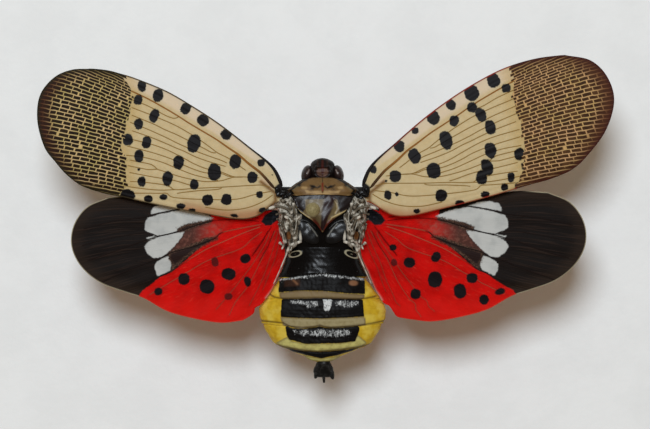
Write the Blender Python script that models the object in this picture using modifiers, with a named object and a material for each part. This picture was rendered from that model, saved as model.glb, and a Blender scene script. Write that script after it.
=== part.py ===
"""Spotted lanternfly, spread and pinned, as a life-size museum model.

Metres, +Z up, head towards +Y. The origin is the middle of the display base's underside.
The animal is held level above the base by the insect pin through its scutellum.
"""

import math

import bmesh
import bpy
import numpy as np
from mathutils import Euler, Matrix, Vector

# Driving dimensions, in millimetres unless the name says otherwise

MM = 0.001
GAP = 0.3

# Wings: membrane, ridge and root thickness
MEMBRANE = 0.5
VEIN_THICKNESS = 0.76
ROOT_THICKNESS = 0.95
VEIN_HALF_WIDTH = 0.018
DIHEDRAL = math.radians(2.0)

FOREWING_LEVEL = 13.35
FOREWING_CAMBER = 0.35
FOREWING_ROWS = 17
FOREWING_HINGE = ((3.6, 5.3), (3.6, 4.0))
FOREWING_LEADING = ((4.5, 7.2), (6.7, 9.27), (9.15, 11.4), (11.5, 13.15), (13.9, 14.67),
                    (16.4, 15.93), (19.1, 16.74))
FOREWING_OUTER = ((21.8, 17.1), (24.1, 16.6), (25.6, 15.1), (26.2, 12.9), (25.4, 10.2),
                  (23.6, 7.8), (21.2, 6.2))
FOREWING_TRAILING = ((4.5, 3.7), (6.1, 2.75), (7.9, 2.6), (10.6, 3.2), (14.5, 4.2), (18.7, 5.45))
FOREWING_VEINS = (0.1, 0.24, 0.4, 0.56, 0.72, 0.88)
FOREWING_BETWEEN = (0.17, 0.32, 0.48, 0.64, 0.8)

HINDWING_LEVEL = 12.15
HINDWING_CAMBER = 0.2
HINDWING_ROWS = 14
HINDWING_HINGE = ((3.5, 3.05), (3.5, -0.05))
HINDWING_LEADING = ((7.9, 3.6), (13.3, 4.25), (17.3, 4.85))
HINDWING_OUTER = ((20.4, 4.75), (22.4, 3.85), (23.6, 2.15), (23.8, 0.2), (22.9, -1.7), (21.1, -3.2),
                  (18.7, -4.1), (17.05, -4.65), (14.9, -5.85), (12.4, -6.55), (9.9, -6.95),
                  (7.9, -6.75))
HINDWING_TRAILING = ((3.75, -1.1), (4.15, -2.1), (4.6, -3.1), (5.15, -4.15), (5.8, -5.1))
HINDWING_VEINS = (0.1, 0.24, 0.38, 0.52, 0.66, 0.8, 0.92)
HINDWING_BETWEEN = (0.17, 0.31, 0.45, 0.59, 0.73)

# Each side as the specimen was set: sweep in degrees, size, and how far the tip is shifted
FOREWING_SET = {"right": (0.0, 1.0, (0.0, 0.0)), "left": (-3.3, 0.986, (-0.46, -0.26))}
HINDWING_SET = {"right": (0.0, 1.0, (0.0, 0.0)), "left": (0.0, 0.97, (-0.5, -0.37))}

# Tegula: the knob over each forewing's root
TEGULA_CENTRE = (4.0, 4.85, 13.55)
TEGULA_HALVES = (0.4, 0.5, 0.42)

# Body lofts: stations of (y, half width, bottom, widest level, top, roundness)
HEAD_STATIONS = ((7.8, 0.85, 11.6, 12.1, 12.5, 2.6), (7.35, 1.05, 10.0, 11.9, 12.85, 2.6),
                 (6.9, 1.25, 9.0, 11.8, 13.05, 2.6), (6.4, 1.3, 8.6, 11.6, 13.1, 2.6))
PRONOTUM_STATIONS = ((6.1, 1.0, 10.2, 12.2, 13.3, 2.4), (5.75, 1.75, 9.4, 12.4, 13.65, 2.5),
                     (5.4, 2.6, 8.9, 12.6, 13.9, 2.8), (5.0, 3.25, 8.6, 12.7, 14.1, 3.2),
                     (4.4, 3.2, 8.4, 12.7, 14.2, 3.4))
THORAX_STATIONS = ((4.1, 3.15, 8.3, 12.7, 13.5, 4.0), (3.2, 3.2, 8.2, 12.7, 13.5, 4.0),
                   (1.8, 3.2, 8.2, 12.6, 13.5, 4.0), (0.1, 3.15, 8.4, 12.4, 13.4, 3.6))
SCUTELLUM_STATIONS = ((4.1, 2.65, 13.8, 13.8, 14.45, 3.0), (3.6, 2.45, 13.8, 13.8, 14.65, 3.0),
                      (2.9, 1.75, 13.8, 13.8, 14.7, 2.6), (2.2, 0.95, 13.8, 13.8, 14.6, 2.4),
                      (1.4, 0.2, 13.8, 13.8, 14.2, 2.2))

# Abdomen: half width, bottom and top level along Y
ABDOMEN_WIDTH = ((-0.15, 3.2), (-1.5, 3.35), (-2.9, 3.95), (-4.3, 4.7), (-5.4, 5.5), (-6.3, 5.66),
                 (-7.2, 5.5), (-8.2, 5.0), (-9.1, 4.0), (-9.8, 2.6), (-10.3, 1.45))
ABDOMEN_TOP = ((-0.15, 12.9), (-2.9, 12.9), (-6.3, 12.9), (-9.1, 12.3), (-10.3, 11.5))
ABDOMEN_BOTTOM = ((-0.15, 8.6), (-2.9, 8.5), (-6.3, 8.4), (-9.1, 8.9), (-10.3, 9.8))
ABDOMEN_WIDEST = 10.7
ABDOMEN_ROUNDNESS = 2.3
SEGMENT_ENDS = (-0.15, -2.9, -4.75, -7.45, -9.4, -10.3)
SEGMENT_RINGS = 5
TERGITE_STEP = 0.14

TAIL_STATIONS = ((-10.6, 0.85, 9.9, 10.6, 11.4, 2.2), (-11.2, 0.9, 10.0, 10.6, 11.2, 2.2),
                 (-11.7, 0.75, 10.2, 10.6, 11.0, 2.2))
TAIL_PRONGS = ((-0.55, -11.3, -0.85, -11.95), (0.0, -11.3, 0.0, -12.4), (0.55, -11.3, 0.85, -11.95))
PRONG_RADIUS = 0.3
PRONG_TIP = 0.1

BODY_SIDES = 24

# Head parts
EYE_CENTRE = (1.44, 6.4, 11.7)
EYE_HALVES = (0.42, 0.76, 0.95)
EYE_YAW = math.radians(14.0)
ANTENNA_BULB = (1.42, 6.45, 9.75)
ANTENNA_BULB_RADIUS = 0.42
BRISTLE_TIP = (1.75, 5.6, 7.7)
ROSTRUM_PATH = ((0.0, 7.0, 8.45), (0.0, 6.6, 7.95), (0.0, 6.0, 7.75), (0.0, 3.0, 7.6), (0.0, -0.9, 7.6))
ROSTRUM_RADII = (0.34, 0.32, 0.28, 0.26, 0.2)

# Pronotum keel, and plates on the thorax: centre and half sizes for the right side
PRONOTUM_KEEL = ((0.0, 5.0, 14.05), (0.13, 0.62, 0.25))
METANOTUM = ((1.2, 1.2, 13.4), (0.82, 1.0, 0.42))
WING_PAD = ((2.55, 1.7, 13.25), (0.45, 1.5, 0.4))

# Legs on the right side: joints from coxa to foot
LEGS = {
    "fore": ((1.25, 4.75, 8.1), (4.7, 5.0, 6.7), (2.5, 4.0, 5.1), (1.9, 3.4, 4.95)),
    "mid": ((1.3, 1.9, 7.9), (5.4, 2.2, 6.4), (2.9, 0.5, 5.1), (2.0, -0.3, 4.95)),
    "hind": ((1.25, -0.6, 8.0), (3.1, -4.2, 6.2), (2.3, -8.9, 6.4), (1.6, -10.0, 6.0)),
}
SPINE_LENGTH = 0.55
SPINE_RADIUS = 0.16
SPINE_PLACES = (0.25, 0.45, 0.65, 0.85)

LEG_RADII = (0.42, 0.36, 0.27, 0.25)
LEG_BEND = 0.6
LEG_BEND_STEPS = 4

# Insect pin and display base
PIN_X = -0.85
PIN_Y = 3.15
PIN_RADIUS = 0.25
PIN_BORE = PIN_RADIUS + GAP
PIN_TOP = 21.1
PIN_HEAD_RADIUS = 0.65
BASE_LENGTH = 26.0
BASE_WIDTH = 9.6
BASE_HEIGHT = 2.6
BASE_CORNER = 4.2

COLOURS = {
    "wing_tan": (0.42, 0.34, 0.22), "wing_red": (0.55, 0.07, 0.04), "black": (0.02, 0.018, 0.02),
    "brown": (0.11, 0.06, 0.035), "yellow": (0.42, 0.3, 0.05), "orange": (0.6, 0.15, 0.03),
    "eye": (0.05, 0.05, 0.055), "steel": (0.45, 0.42, 0.32), "board": (0.75, 0.75, 0.73),
}


def clear_scene():
    """Remove every object, so that the model starts from nothing."""
    for item in list(bpy.data.objects):
        bpy.data.objects.remove(item, do_unlink=True)


def new_collection(name):
    """Add a collection under the scene."""
    group = bpy.data.collections.new(name)
    bpy.context.scene.collection.children.link(group)
    return group


def finish_material(name, colour, roughness, metallic=0.0):
    """Make a Principled material from a colour, a roughness and a metallic value."""
    material = bpy.data.materials.new(name)
    material.use_nodes = True
    shader = material.node_tree.nodes["Principled BSDF"]
    shader.inputs["Base Color"].default_value = (*colour, 1.0)
    shader.inputs["Roughness"].default_value = roughness
    shader.inputs["Metallic"].default_value = metallic
    return material


def spaced(points, count):
    """Points at equal fractions of length along a smooth curve through the given points."""
    corners = np.array(points, dtype=float)
    ends = np.vstack([2 * corners[0] - corners[1], corners, 2 * corners[-1] - corners[-2]])
    steps = np.linspace(0.0, 1.0, 12, endpoint=False)[:, None]
    runs = []
    for a, b, c, d in zip(ends[:-3], ends[1:-2], ends[2:-1], ends[3:]):
        runs.append(0.5 * (2 * b + (c - a) * steps + (2 * a - 5 * b + 4 * c - d) * steps ** 2
                           + (3 * b - a - 3 * c + d) * steps ** 3))
    curve = np.vstack(runs + [corners[-1:]])
    lengths = np.concatenate([[0.0], np.cumsum(np.linalg.norm(np.diff(curve, axis=0), axis=1))])
    wanted = np.asarray(count) * lengths[-1]
    return np.stack([np.interp(wanted, lengths, curve[:, k]) for k in range(corners.shape[1])], axis=1)


def mesh_object(name, shape, material, group):
    """Turn a bmesh in millimetres into a named object in metres."""
    bmesh.ops.scale(shape, vec=(MM, MM, MM), verts=shape.verts)
    mesh = bpy.data.meshes.new(name)
    shape.to_mesh(mesh)
    shape.free()
    item = bpy.data.objects.new(name, mesh)
    mesh.materials.append(material)
    group.objects.link(item)
    return item


def ring(station, sides):
    """One body section: a rounded outline at a station, wider or flatter by its roundness."""
    y, half_width, bottom, widest, top, roundness = station
    angles = np.linspace(0.0, 2 * math.pi, sides, endpoint=False) + math.pi / sides
    across = np.sign(np.cos(angles)) * np.abs(np.cos(angles)) ** (2 / roundness)
    upward = np.sign(np.sin(angles)) * np.abs(np.sin(angles)) ** (2 / roundness)
    height = np.where(upward > 0, top - widest, widest - bottom)
    return [(half_width * a, y, widest + h * u) for a, u, h in zip(across, upward, height)]


def loft(stations, sides=BODY_SIDES):
    """Skin a row of body sections and close both ends."""
    shape = bmesh.new()
    rings = [[shape.verts.new(point) for point in ring(station, sides)] for station in stations]
    for near, far in zip(rings[:-1], rings[1:]):
        for k in range(sides):
            following = (k + 1) % sides
            shape.faces.new((near[k], near[following], far[following], far[k]))
    shape.faces.new(rings[0])
    shape.faces.new(list(reversed(rings[-1])))
    bmesh.ops.remove_doubles(shape, verts=shape.verts, dist=0.001)
    bmesh.ops.recalc_face_normals(shape, faces=shape.faces)
    return shape


def ellipsoid(centre, halves, yaw=0.0, segments=16, rings=10):
    """An ellipsoid with the given half sizes, turned about Z."""
    shape = bmesh.new()
    bmesh.ops.create_uvsphere(shape, u_segments=segments, v_segments=rings, radius=1.0)
    place = Matrix.Translation(centre) @ Euler((0.0, 0.0, yaw)).to_matrix().to_4x4()
    place = place @ Matrix.Diagonal((*halves, 1.0))
    bmesh.ops.transform(shape, matrix=place, verts=shape.verts)
    return shape


def rod(start, end, radius_start, radius_end, sides=10):
    """A straight round rod or cone between two points."""
    start = Vector(start)
    end = Vector(end)
    shape = bmesh.new()
    bmesh.ops.create_cone(shape, cap_ends=True, segments=sides, radius1=radius_start,
                          radius2=radius_end, depth=(end - start).length)
    turn = (end - start).to_track_quat("Z", "Y").to_matrix().to_4x4()
    bmesh.ops.transform(shape, matrix=Matrix.Translation((start + end) / 2) @ turn, verts=shape.verts)
    return shape


def tube(name, points, radii, material, group):
    """A bent round rod: a poly curve with a radius at each point, made a mesh with welded caps."""
    curve = bpy.data.curves.new(name, "CURVE")
    curve.dimensions = "3D"
    curve.bevel_depth = MM
    curve.bevel_resolution = 2
    curve.use_fill_caps = True
    spline = curve.splines.new("POLY")
    spline.points.add(len(points) - 1)
    for point, place, radius in zip(spline.points, points, radii):
        point.co = (*(MM * value for value in place), 1.0)
        point.radius = radius
    guide = bpy.data.objects.new(name + "_guide", curve)
    group.objects.link(guide)
    bpy.context.view_layer.update()
    mesh = bpy.data.meshes.new_from_object(guide.evaluated_get(bpy.context.evaluated_depsgraph_get()))
    shape = bmesh.new()
    shape.from_mesh(mesh)
    bmesh.ops.remove_doubles(shape, verts=shape.verts, dist=0.002 * MM)
    bmesh.ops.recalc_face_normals(shape, faces=shape.faces)
    shape.to_mesh(mesh)
    shape.free()
    mesh.name = name
    item = bpy.data.objects.new(name, mesh)
    item.matrix_world = guide.matrix_world.copy()
    mesh.materials.clear()
    mesh.materials.append(material)
    group.objects.link(item)
    bpy.data.objects.remove(guide, do_unlink=True)
    return item


def apply_modifiers(item):
    """Replace an object's mesh by its evaluated mesh."""
    bpy.context.view_layer.update()
    mesh = bpy.data.meshes.new_from_object(item.evaluated_get(bpy.context.evaluated_depsgraph_get()))
    item.modifiers.clear()
    item.data = mesh


def keep_largest(item):
    """Keep only the closed surface with the most faces."""
    shape = bmesh.new()
    shape.from_mesh(item.data)
    waiting = set(shape.verts)
    islands = []
    while waiting:
        stack = [waiting.pop()]
        island = set(stack)
        while stack:
            for edge in stack.pop().link_edges:
                for vert in edge.verts:
                    if vert in waiting:
                        waiting.discard(vert)
                        island.add(vert)
                        stack.append(vert)
        islands.append(island)
    islands.sort(key=len)
    for island in islands[:-1]:
        bmesh.ops.delete(shape, geom=list(island), context="VERTS")
    shape.to_mesh(item.data)
    shape.free()


def unite(item, pieces):
    """Join closed pieces to an object with one Boolean union, then drop loose scraps."""
    joined = bpy.data.collections.new(item.name + "_pieces")
    bpy.context.scene.collection.children.link(joined)
    for index, shape in enumerate(pieces):
        mesh_object(f"{item.name}_piece_{index}", shape, item.data.materials[0], joined)
    union = item.modifiers.new("joined", "BOOLEAN")
    union.operation = "UNION"
    union.operand_type = "COLLECTION"
    union.collection = joined
    union.solver = "EXACT"
    apply_modifiers(item)
    for piece in list(joined.objects):
        bpy.data.objects.remove(piece, do_unlink=True)
    bpy.data.collections.remove(joined)
    keep_largest(item)


def cut(item, shape, cutters):
    """Cut a shape out of an object."""
    cutter = mesh_object(f"{item.name}_cutter_{len(cutters.objects)}", shape, item.data.materials[0], cutters)
    cutter.hide_render = True
    cutter.display_type = "WIRE"
    difference = item.modifiers.new("cut", "BOOLEAN")
    difference.operation = "DIFFERENCE"
    difference.object = cutter
    difference.solver = "EXACT"
    apply_modifiers(item)
    keep_largest(item)


def shade(item, angle=math.radians(35.0)):
    """Shade a round piece smooth, with its edges sharp."""
    item.data.shade_smooth()
    item.data.set_sharp_from_angle(angle=angle)


def set_wing(points, steps, hinge, sweep, size, shift, side):
    """Turn, size and mirror wing points about the hinge, shifting them more towards the tip."""
    pivot = (np.array(hinge[0]) + np.array(hinge[1])) / 2
    angle = math.radians(sweep)
    turn = np.array(((math.cos(angle), -math.sin(angle)), (math.sin(angle), math.cos(angle))))
    placed = (points - pivot) @ turn.T * size + pivot
    placed += np.array(shift) * np.asarray(steps)[:, None, None]
    placed[..., 0] *= side
    return placed


def wing_surface(hinge, leading, outer, trailing, rows, columns):
    """Blend four edges into a sheet: rows run out from the hinge, columns across the wing."""
    lead = spaced((hinge[0], *leading, outer[0]), rows)[:, None, :]
    trail = spaced((hinge[1], *trailing, outer[-1]), rows)[:, None, :]
    root = spaced(hinge, columns)[None, :, :]
    rim = spaced(outer, columns)[None, :, :]
    s = np.asarray(rows)[:, None, None]
    t = np.asarray(columns)[None, :, None]
    corners = ((1 - s) * (1 - t) * root[:, :1] + (1 - s) * t * root[:, -1:]
               + s * (1 - t) * rim[:, :1] + s * t * rim[:, -1:])
    return (1 - t) * lead + t * trail + (1 - s) * root + s * rim - corners


def make_wing(name, side, hinge, edges, setting, level, camber, rows, veins, between, material, group):
    """A wing: a cambered sheet given thickness, with its main veins and its root thicker."""
    columns = [0.0, 1.0, *between]
    for vein in veins:
        columns += [vein - VEIN_HALF_WIDTH, vein, vein + VEIN_HALF_WIDTH]
    columns = sorted(columns)
    steps = np.linspace(0.0, 1.0, rows + 1)
    flat = wing_surface(hinge, *edges, steps, columns)
    placed = set_wing(flat, steps, hinge, *setting, side)
    along = np.abs(placed[..., 0]) - hinge[0][0]
    across = np.array(columns)[None, :]
    arch = camber * 4 * across * (1 - across) * np.minimum(1.0, 3 * steps)[:, None]
    heights = level + along * math.tan(DIHEDRAL) + arch

    shape = bmesh.new()
    bmesh.ops.create_grid(shape, x_segments=rows, y_segments=len(columns) - 1, size=0.5)
    weights = {}
    for vert in shape.verts:
        i = round((vert.co.x + 0.5) * rows)
        j = round((vert.co.y + 0.5) * (len(columns) - 1))
        vert.co = (*placed[i, j], heights[i, j])
        on_vein = columns[j] in veins or j == 0
        thickness = VEIN_THICKNESS if on_vein and 0 < i < rows else MEMBRANE
        weights[vert.index] = (ROOT_THICKNESS if i == 0 else thickness) / ROOT_THICKNESS
    bmesh.ops.triangulate(shape, faces=shape.faces, quad_method="FIXED")
    if side < 0:
        bmesh.ops.reverse_faces(shape, faces=shape.faces)
    item = mesh_object(name, shape, material, group)
    thickness_group = item.vertex_groups.new(name="thickness")
    for index, weight in weights.items():
        thickness_group.add([index], weight, "REPLACE")
    solid = item.modifiers.new("thickness", "SOLIDIFY")
    solid.thickness = ROOT_THICKNESS * MM
    solid.offset = 0.0
    solid.vertex_group = thickness_group.name
    solid.use_even_offset = False
    shade(item)
    return item


def make_wings(group):
    """Both pairs of wings, the fore pair lying over the hind pair."""
    tan = finish_material("forewing_tan", COLOURS["wing_tan"], 0.5)
    red = finish_material("hindwing_red", COLOURS["wing_red"], 0.5)
    for side, factor in (("left", -1), ("right", 1)):
        forewing = make_wing(f"forewing_{side}", factor, FOREWING_HINGE,
                             (FOREWING_LEADING, FOREWING_OUTER, FOREWING_TRAILING),
                             FOREWING_SET[side], FOREWING_LEVEL, FOREWING_CAMBER, FOREWING_ROWS,
                             FOREWING_VEINS, FOREWING_BETWEEN, tan, group)
        x, y, z = TEGULA_CENTRE
        unite(forewing, [ellipsoid((factor * x, y, z), TEGULA_HALVES, segments=12, rings=8)])
        shade(forewing)
        make_wing(f"hindwing_{side}", factor, HINDWING_HINGE,
                  (HINDWING_LEADING, HINDWING_OUTER, HINDWING_TRAILING), HINDWING_SET[side],
                  HINDWING_LEVEL, HINDWING_CAMBER, HINDWING_ROWS, HINDWING_VEINS,
                  HINDWING_BETWEEN, red, group)


def eye_shape(side, extra=0.0, segments=16, rings=10):
    """One eye, or the larger room that it needs."""
    x, y, z = EYE_CENTRE
    halves = [half + extra for half in EYE_HALVES]
    return ellipsoid((side * x, y, z), halves, side * EYE_YAW, segments, rings)


def make_head(group, cutters):
    """Head, eyes, antennae and rostrum."""
    brown = finish_material("head_brown", COLOURS["brown"], 0.45)
    eye_black = finish_material("eye_black", COLOURS["eye"], 0.2)
    orange = finish_material("antenna_orange", COLOURS["orange"], 0.4)
    head = mesh_object("head", loft(HEAD_STATIONS, 20), brown, group)
    for side, name in ((-1, "left"), (1, "right")):
        cut(head, eye_shape(side, GAP), cutters)
        eye = mesh_object(f"eye_{name}", eye_shape(side), eye_black, group)
        shade(eye)
        x, y, z = ANTENNA_BULB
        bulb = ellipsoid((side * x, y, z), [ANTENNA_BULB_RADIUS] * 3, segments=12, rings=8)
        antenna = mesh_object(f"antenna_{name}", bulb, orange, group)
        tip = (side * BRISTLE_TIP[0], *BRISTLE_TIP[1:])
        unite(antenna, [rod((side * x, y, z), tip, 0.25, 0.12, 8)])
        shade(antenna)
    shade(head)
    rostrum = tube("rostrum", ROSTRUM_PATH, ROSTRUM_RADII, brown, group)
    shade(rostrum)


def make_thorax(group, cutters):
    """Pronotum, scutellum and the trunk that carries the wings."""
    brown = finish_material("pronotum_brown", COLOURS["brown"], 0.5)
    dark = finish_material("scutellum_dark", COLOURS["brown"], 0.45)
    black = finish_material("thorax_black", COLOURS["black"], 0.35)
    pronotum = mesh_object("pronotum", loft(PRONOTUM_STATIONS), brown, group)
    for side in (-1, 1):
        cut(pronotum, eye_shape(side, GAP), cutters)
    unite(pronotum, [ellipsoid(*PRONOTUM_KEEL, segments=8, rings=8)])
    shade(pronotum)
    thorax = mesh_object("thorax", loft(THORAX_STATIONS), black, group)
    plates = []
    for (x, y, z), halves in (METANOTUM, WING_PAD):
        plates += [ellipsoid((side * x, y, z), halves, segments=14, rings=8) for side in (-1, 1)]
    unite(thorax, plates)
    scutellum = mesh_object("scutellum", loft(SCUTELLUM_STATIONS), dark, group)
    room = [side * (METANOTUM[0][0]) for side in (-1, 1)]
    for x in room:
        halves = [half + GAP for half in METANOTUM[1]]
        cut(scutellum, ellipsoid((x, *METANOTUM[0][1:]), halves, segments=14, rings=8), cutters)
    for item in (thorax, scutellum):
        bore = rod((PIN_X, PIN_Y, 7.0), (PIN_X, PIN_Y, 16.0), PIN_BORE, PIN_BORE, 16)
        cut(item, bore, cutters)
        shade(item)


def abdomen_station(y, step=0.0):
    """A section of the abdomen at y, widened by a step."""
    width = np.interp(-y, [-p[0] for p in ABDOMEN_WIDTH], [p[1] for p in ABDOMEN_WIDTH])
    top = np.interp(-y, [-p[0] for p in ABDOMEN_TOP], [p[1] for p in ABDOMEN_TOP])
    bottom = np.interp(-y, [-p[0] for p in ABDOMEN_BOTTOM], [p[1] for p in ABDOMEN_BOTTOM])
    return (y, width + step, bottom, ABDOMEN_WIDEST, top + step, ABDOMEN_ROUNDNESS)


def make_abdomen(group):
    """Abdomen segments, each flaring a little over the next, and the tail."""
    black = finish_material("abdomen_black", COLOURS["black"], 0.45)
    yellow = finish_material("abdomen_yellow", COLOURS["yellow"], 0.5)
    for index, (front, rear) in enumerate(zip(SEGMENT_ENDS[:-1], SEGMENT_ENDS[1:])):
        steps = np.linspace(front - GAP / 2, rear + GAP / 2, SEGMENT_RINGS)
        raised = TERGITE_STEP * np.array((-1.0, 0.0, 0.3, 0.3, -0.6))
        stations = [abdomen_station(y, step) for y, step in zip(steps, raised)]
        material = yellow if index else black
        segment = mesh_object(f"abdomen_segment_{index + 1}", loft(stations), material, group)
        shade(segment)
    tail = mesh_object("tail", loft(TAIL_STATIONS, 16), black, group)
    level = TAIL_STATIONS[1][3]
    prongs = [rod((x, y, level), (tip_x, tip_y, level), PRONG_RADIUS, PRONG_TIP, 8)
              for x, y, tip_x, tip_y in TAIL_PRONGS]
    unite(tail, prongs)
    shade(tail)


def rounded_path(joints):
    """A path through joints, with each inner joint rounded by a short quadratic curve."""
    joints = [Vector(joint) for joint in joints]
    path = [joints[0]]
    for before, joint, after in zip(joints[:-2], joints[1:-1], joints[2:]):
        enter = joint + (before - joint).normalized() * LEG_BEND
        leave = joint + (after - joint).normalized() * LEG_BEND
        for k in range(LEG_BEND_STEPS + 1):
            f = k / LEG_BEND_STEPS
            path.append(enter * (1 - f) ** 2 + joint * 2 * f * (1 - f) + leave * f ** 2)
    return path + [joints[-1]]


def tibia_spines(side, knee, ankle):
    """Short spines down the outer side of a hind tibia, leaning towards the foot."""
    start = Vector((side * knee[0], *knee[1:]))
    end = Vector((side * ankle[0], *ankle[1:]))
    lean = (end - start).normalized() * 0.5 + Vector((side * 1.0, 0.0, -0.3))
    spines = []
    for place in SPINE_PLACES:
        root = start.lerp(end, place)
        spines.append(rod(root, root + lean.normalized() * SPINE_LENGTH, SPINE_RADIUS, 0.05, 6))
    return spines


def make_legs(group):
    """Six legs folded under the body."""
    black = finish_material("leg_black", COLOURS["black"], 0.4)
    for pair, joints in LEGS.items():
        for side, name in ((-1, "left"), (1, "right")):
            path = rounded_path([(side * x, y, z) for x, y, z in joints])
            bends = LEG_BEND_STEPS + 1
            radii = [LEG_RADII[0]] + [LEG_RADII[1]] * bends + [LEG_RADII[2]] * bends + [LEG_RADII[3]]
            leg = tube(f"leg_{pair}_{name}", path, radii, black, group)
            if pair == "hind":
                unite(leg, tibia_spines(side, joints[1], joints[2]))
            shade(leg)


def make_stand(group):
    """The insect pin and the plain display base under it."""
    steel = finish_material("pin_steel", COLOURS["steel"], 0.3, 0.9)
    board = finish_material("base_board", COLOURS["board"], 0.7)
    pin = rod((PIN_X, PIN_Y, BASE_HEIGHT + GAP), (PIN_X, PIN_Y, PIN_TOP), PIN_RADIUS, PIN_RADIUS, 12)
    stand_pin = mesh_object("stand_pin", pin, steel, group)
    unite(stand_pin, [ellipsoid((PIN_X, PIN_Y, PIN_TOP), [PIN_HEAD_RADIUS] * 3)])
    shade(stand_pin)
    plate = bmesh.new()
    bmesh.ops.create_cube(plate, size=1.0)
    bmesh.ops.scale(plate, vec=(BASE_LENGTH, BASE_WIDTH, BASE_HEIGHT), verts=plate.verts)
    bmesh.ops.translate(plate, vec=(0.0, 0.0, BASE_HEIGHT / 2), verts=plate.verts)
    upright = [edge for edge in plate.edges if abs(edge.verts[0].co.z - edge.verts[1].co.z) > 1.0]
    bmesh.ops.bevel(plate, geom=upright, offset=BASE_CORNER, segments=6, profile=0.5, affect="EDGES")
    base = mesh_object("stand_base", plate, board, group)
    shade(base)


def main():
    clear_scene()
    group = new_collection("spotted_lanternfly")
    cutters = new_collection("cutters")
    make_wings(group)
    make_head(group, cutters)
    make_thorax(group, cutters)
    make_abdomen(group)
    make_legs(group)
    make_stand(group)


main()
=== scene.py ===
"""Dresses the spread lanternfly specimen, life size: wings, body, legs, pin, base, light and camera."""

import logging
import math
from dataclasses import dataclass, field
from enum import Enum

import bpy
import numpy as np
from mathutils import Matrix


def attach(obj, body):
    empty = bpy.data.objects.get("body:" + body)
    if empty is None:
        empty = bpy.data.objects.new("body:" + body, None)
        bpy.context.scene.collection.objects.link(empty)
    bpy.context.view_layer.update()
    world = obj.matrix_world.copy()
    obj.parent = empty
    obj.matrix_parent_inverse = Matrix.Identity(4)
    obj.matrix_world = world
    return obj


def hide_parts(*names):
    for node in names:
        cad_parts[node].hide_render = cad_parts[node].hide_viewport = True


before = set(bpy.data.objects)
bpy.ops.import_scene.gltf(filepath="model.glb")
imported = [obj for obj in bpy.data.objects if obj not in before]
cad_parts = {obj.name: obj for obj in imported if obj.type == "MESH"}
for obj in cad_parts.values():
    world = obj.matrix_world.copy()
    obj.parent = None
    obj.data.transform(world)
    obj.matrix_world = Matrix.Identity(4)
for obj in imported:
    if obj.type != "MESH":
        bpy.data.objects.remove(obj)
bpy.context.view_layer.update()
MM = 0.001
log = logging.getLogger("lanternfly")

Array = np.ndarray
Point = tuple[float, float]
Socket = bpy.types.NodeSocket
Material = bpy.types.Material


class Side(Enum):
    """Which half of the animal a piece is on, as the sign of its x."""

    LEFT = -1
    RIGHT = 1

    @property
    def word(self) -> str:
        """The side's name as used in node names."""
        return self.name.lower()


# ---- shapes in numbers ----

def spaced(corners: Array | tuple, fractions: Array) -> Array:
    """Points at given fractions of length along a smooth curve through the corners.

    Formula: Catmull-Rom cubic spans, twelve steps each, read off again by their summed length.

    Args:
        corners: the points the curve passes through.
        fractions: places along it, from 0 to 1, in an array of any shape.

    Returns:
        The points, in an array of the fractions' shape and one more axis.
    """
    corners = np.asarray(corners, float)
    ends = np.vstack([2 * corners[0] - corners[1], corners, 2 * corners[-1] - corners[-2]])
    u = np.linspace(0.0, 1.0, 12, endpoint=False)[None, :, None]
    a, b, c, d = (ends[k:len(ends) - 3 + k, None] for k in range(4))
    square, cube = 2 * a - 5 * b + 4 * c - d, 3 * b - a - 3 * c + d
    spans = 0.5 * (2 * b + (c - a) * u + square * u ** 2 + cube * u ** 3)
    curve = np.vstack([spans.reshape(-1, corners.shape[1]), corners[-1:]])
    lengths = np.concatenate([[0.0], np.cumsum(np.linalg.norm(np.diff(curve, axis=0), axis=1))])
    wanted = np.asarray(fractions, float)
    flat = [np.interp(wanted.ravel() * lengths[-1], lengths, column) for column in curve.T]
    return np.stack(flat, axis=-1).reshape(wanted.shape + (corners.shape[1],))


def smooth(low: float, high: float, value: Array) -> Array:
    """A soft step: 0 below low, 1 above high, and a cubic ease between them."""
    share = np.clip((value - low) / (high - low), 0.0, 1.0)
    return share * share * (3 - 2 * share)


def bell(distance: Array, width: float) -> Array:
    """A round hump: e to the minus squared distance over width."""
    return np.exp(-(distance / width) ** 2)


def ripple(points: Array, size: float, seed: int, waves: int = 9) -> Array:
    """Smooth unevenness from -1 to 1: a sum of sine waves of one length in seeded random directions.

    Args:
        points: places, with their coordinates on the last axis.
        size: the waves' length, in the same unit.
        seed: which unevenness.
        waves: how many waves are summed.

    Returns:
        One value for each place.
    """
    draw = np.random.default_rng(seed)
    headings = draw.normal(size=(waves, points.shape[-1]))
    turns = draw.uniform(0.6, 1.5, (waves, 1)) * 2 * math.pi / size
    headings *= turns / np.linalg.norm(headings, axis=1)[:, None]
    return np.sin(points @ headings.T + draw.uniform(0, 2 * math.pi, waves)).sum(-1) / math.sqrt(waves)


def path_distance(places: Array, path: Array | tuple) -> Array:
    """The distance of places from a line: the least of those from its straight spans.

    Args:
        places: places (x, y).
        path: the line's points.

    Returns:
        A distance for each place.
    """
    path = np.asarray(path, float)
    best = np.full(places.shape[:-1], np.inf)
    for start, end in zip(path[:-1], path[1:]):
        run = end - start
        share = np.clip((places - start) @ run / max(run @ run, 1e-9), 0.0, 1.0)
        best = np.minimum(best, np.linalg.norm(places - start - share[..., None] * run, axis=-1))
    return best


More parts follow.
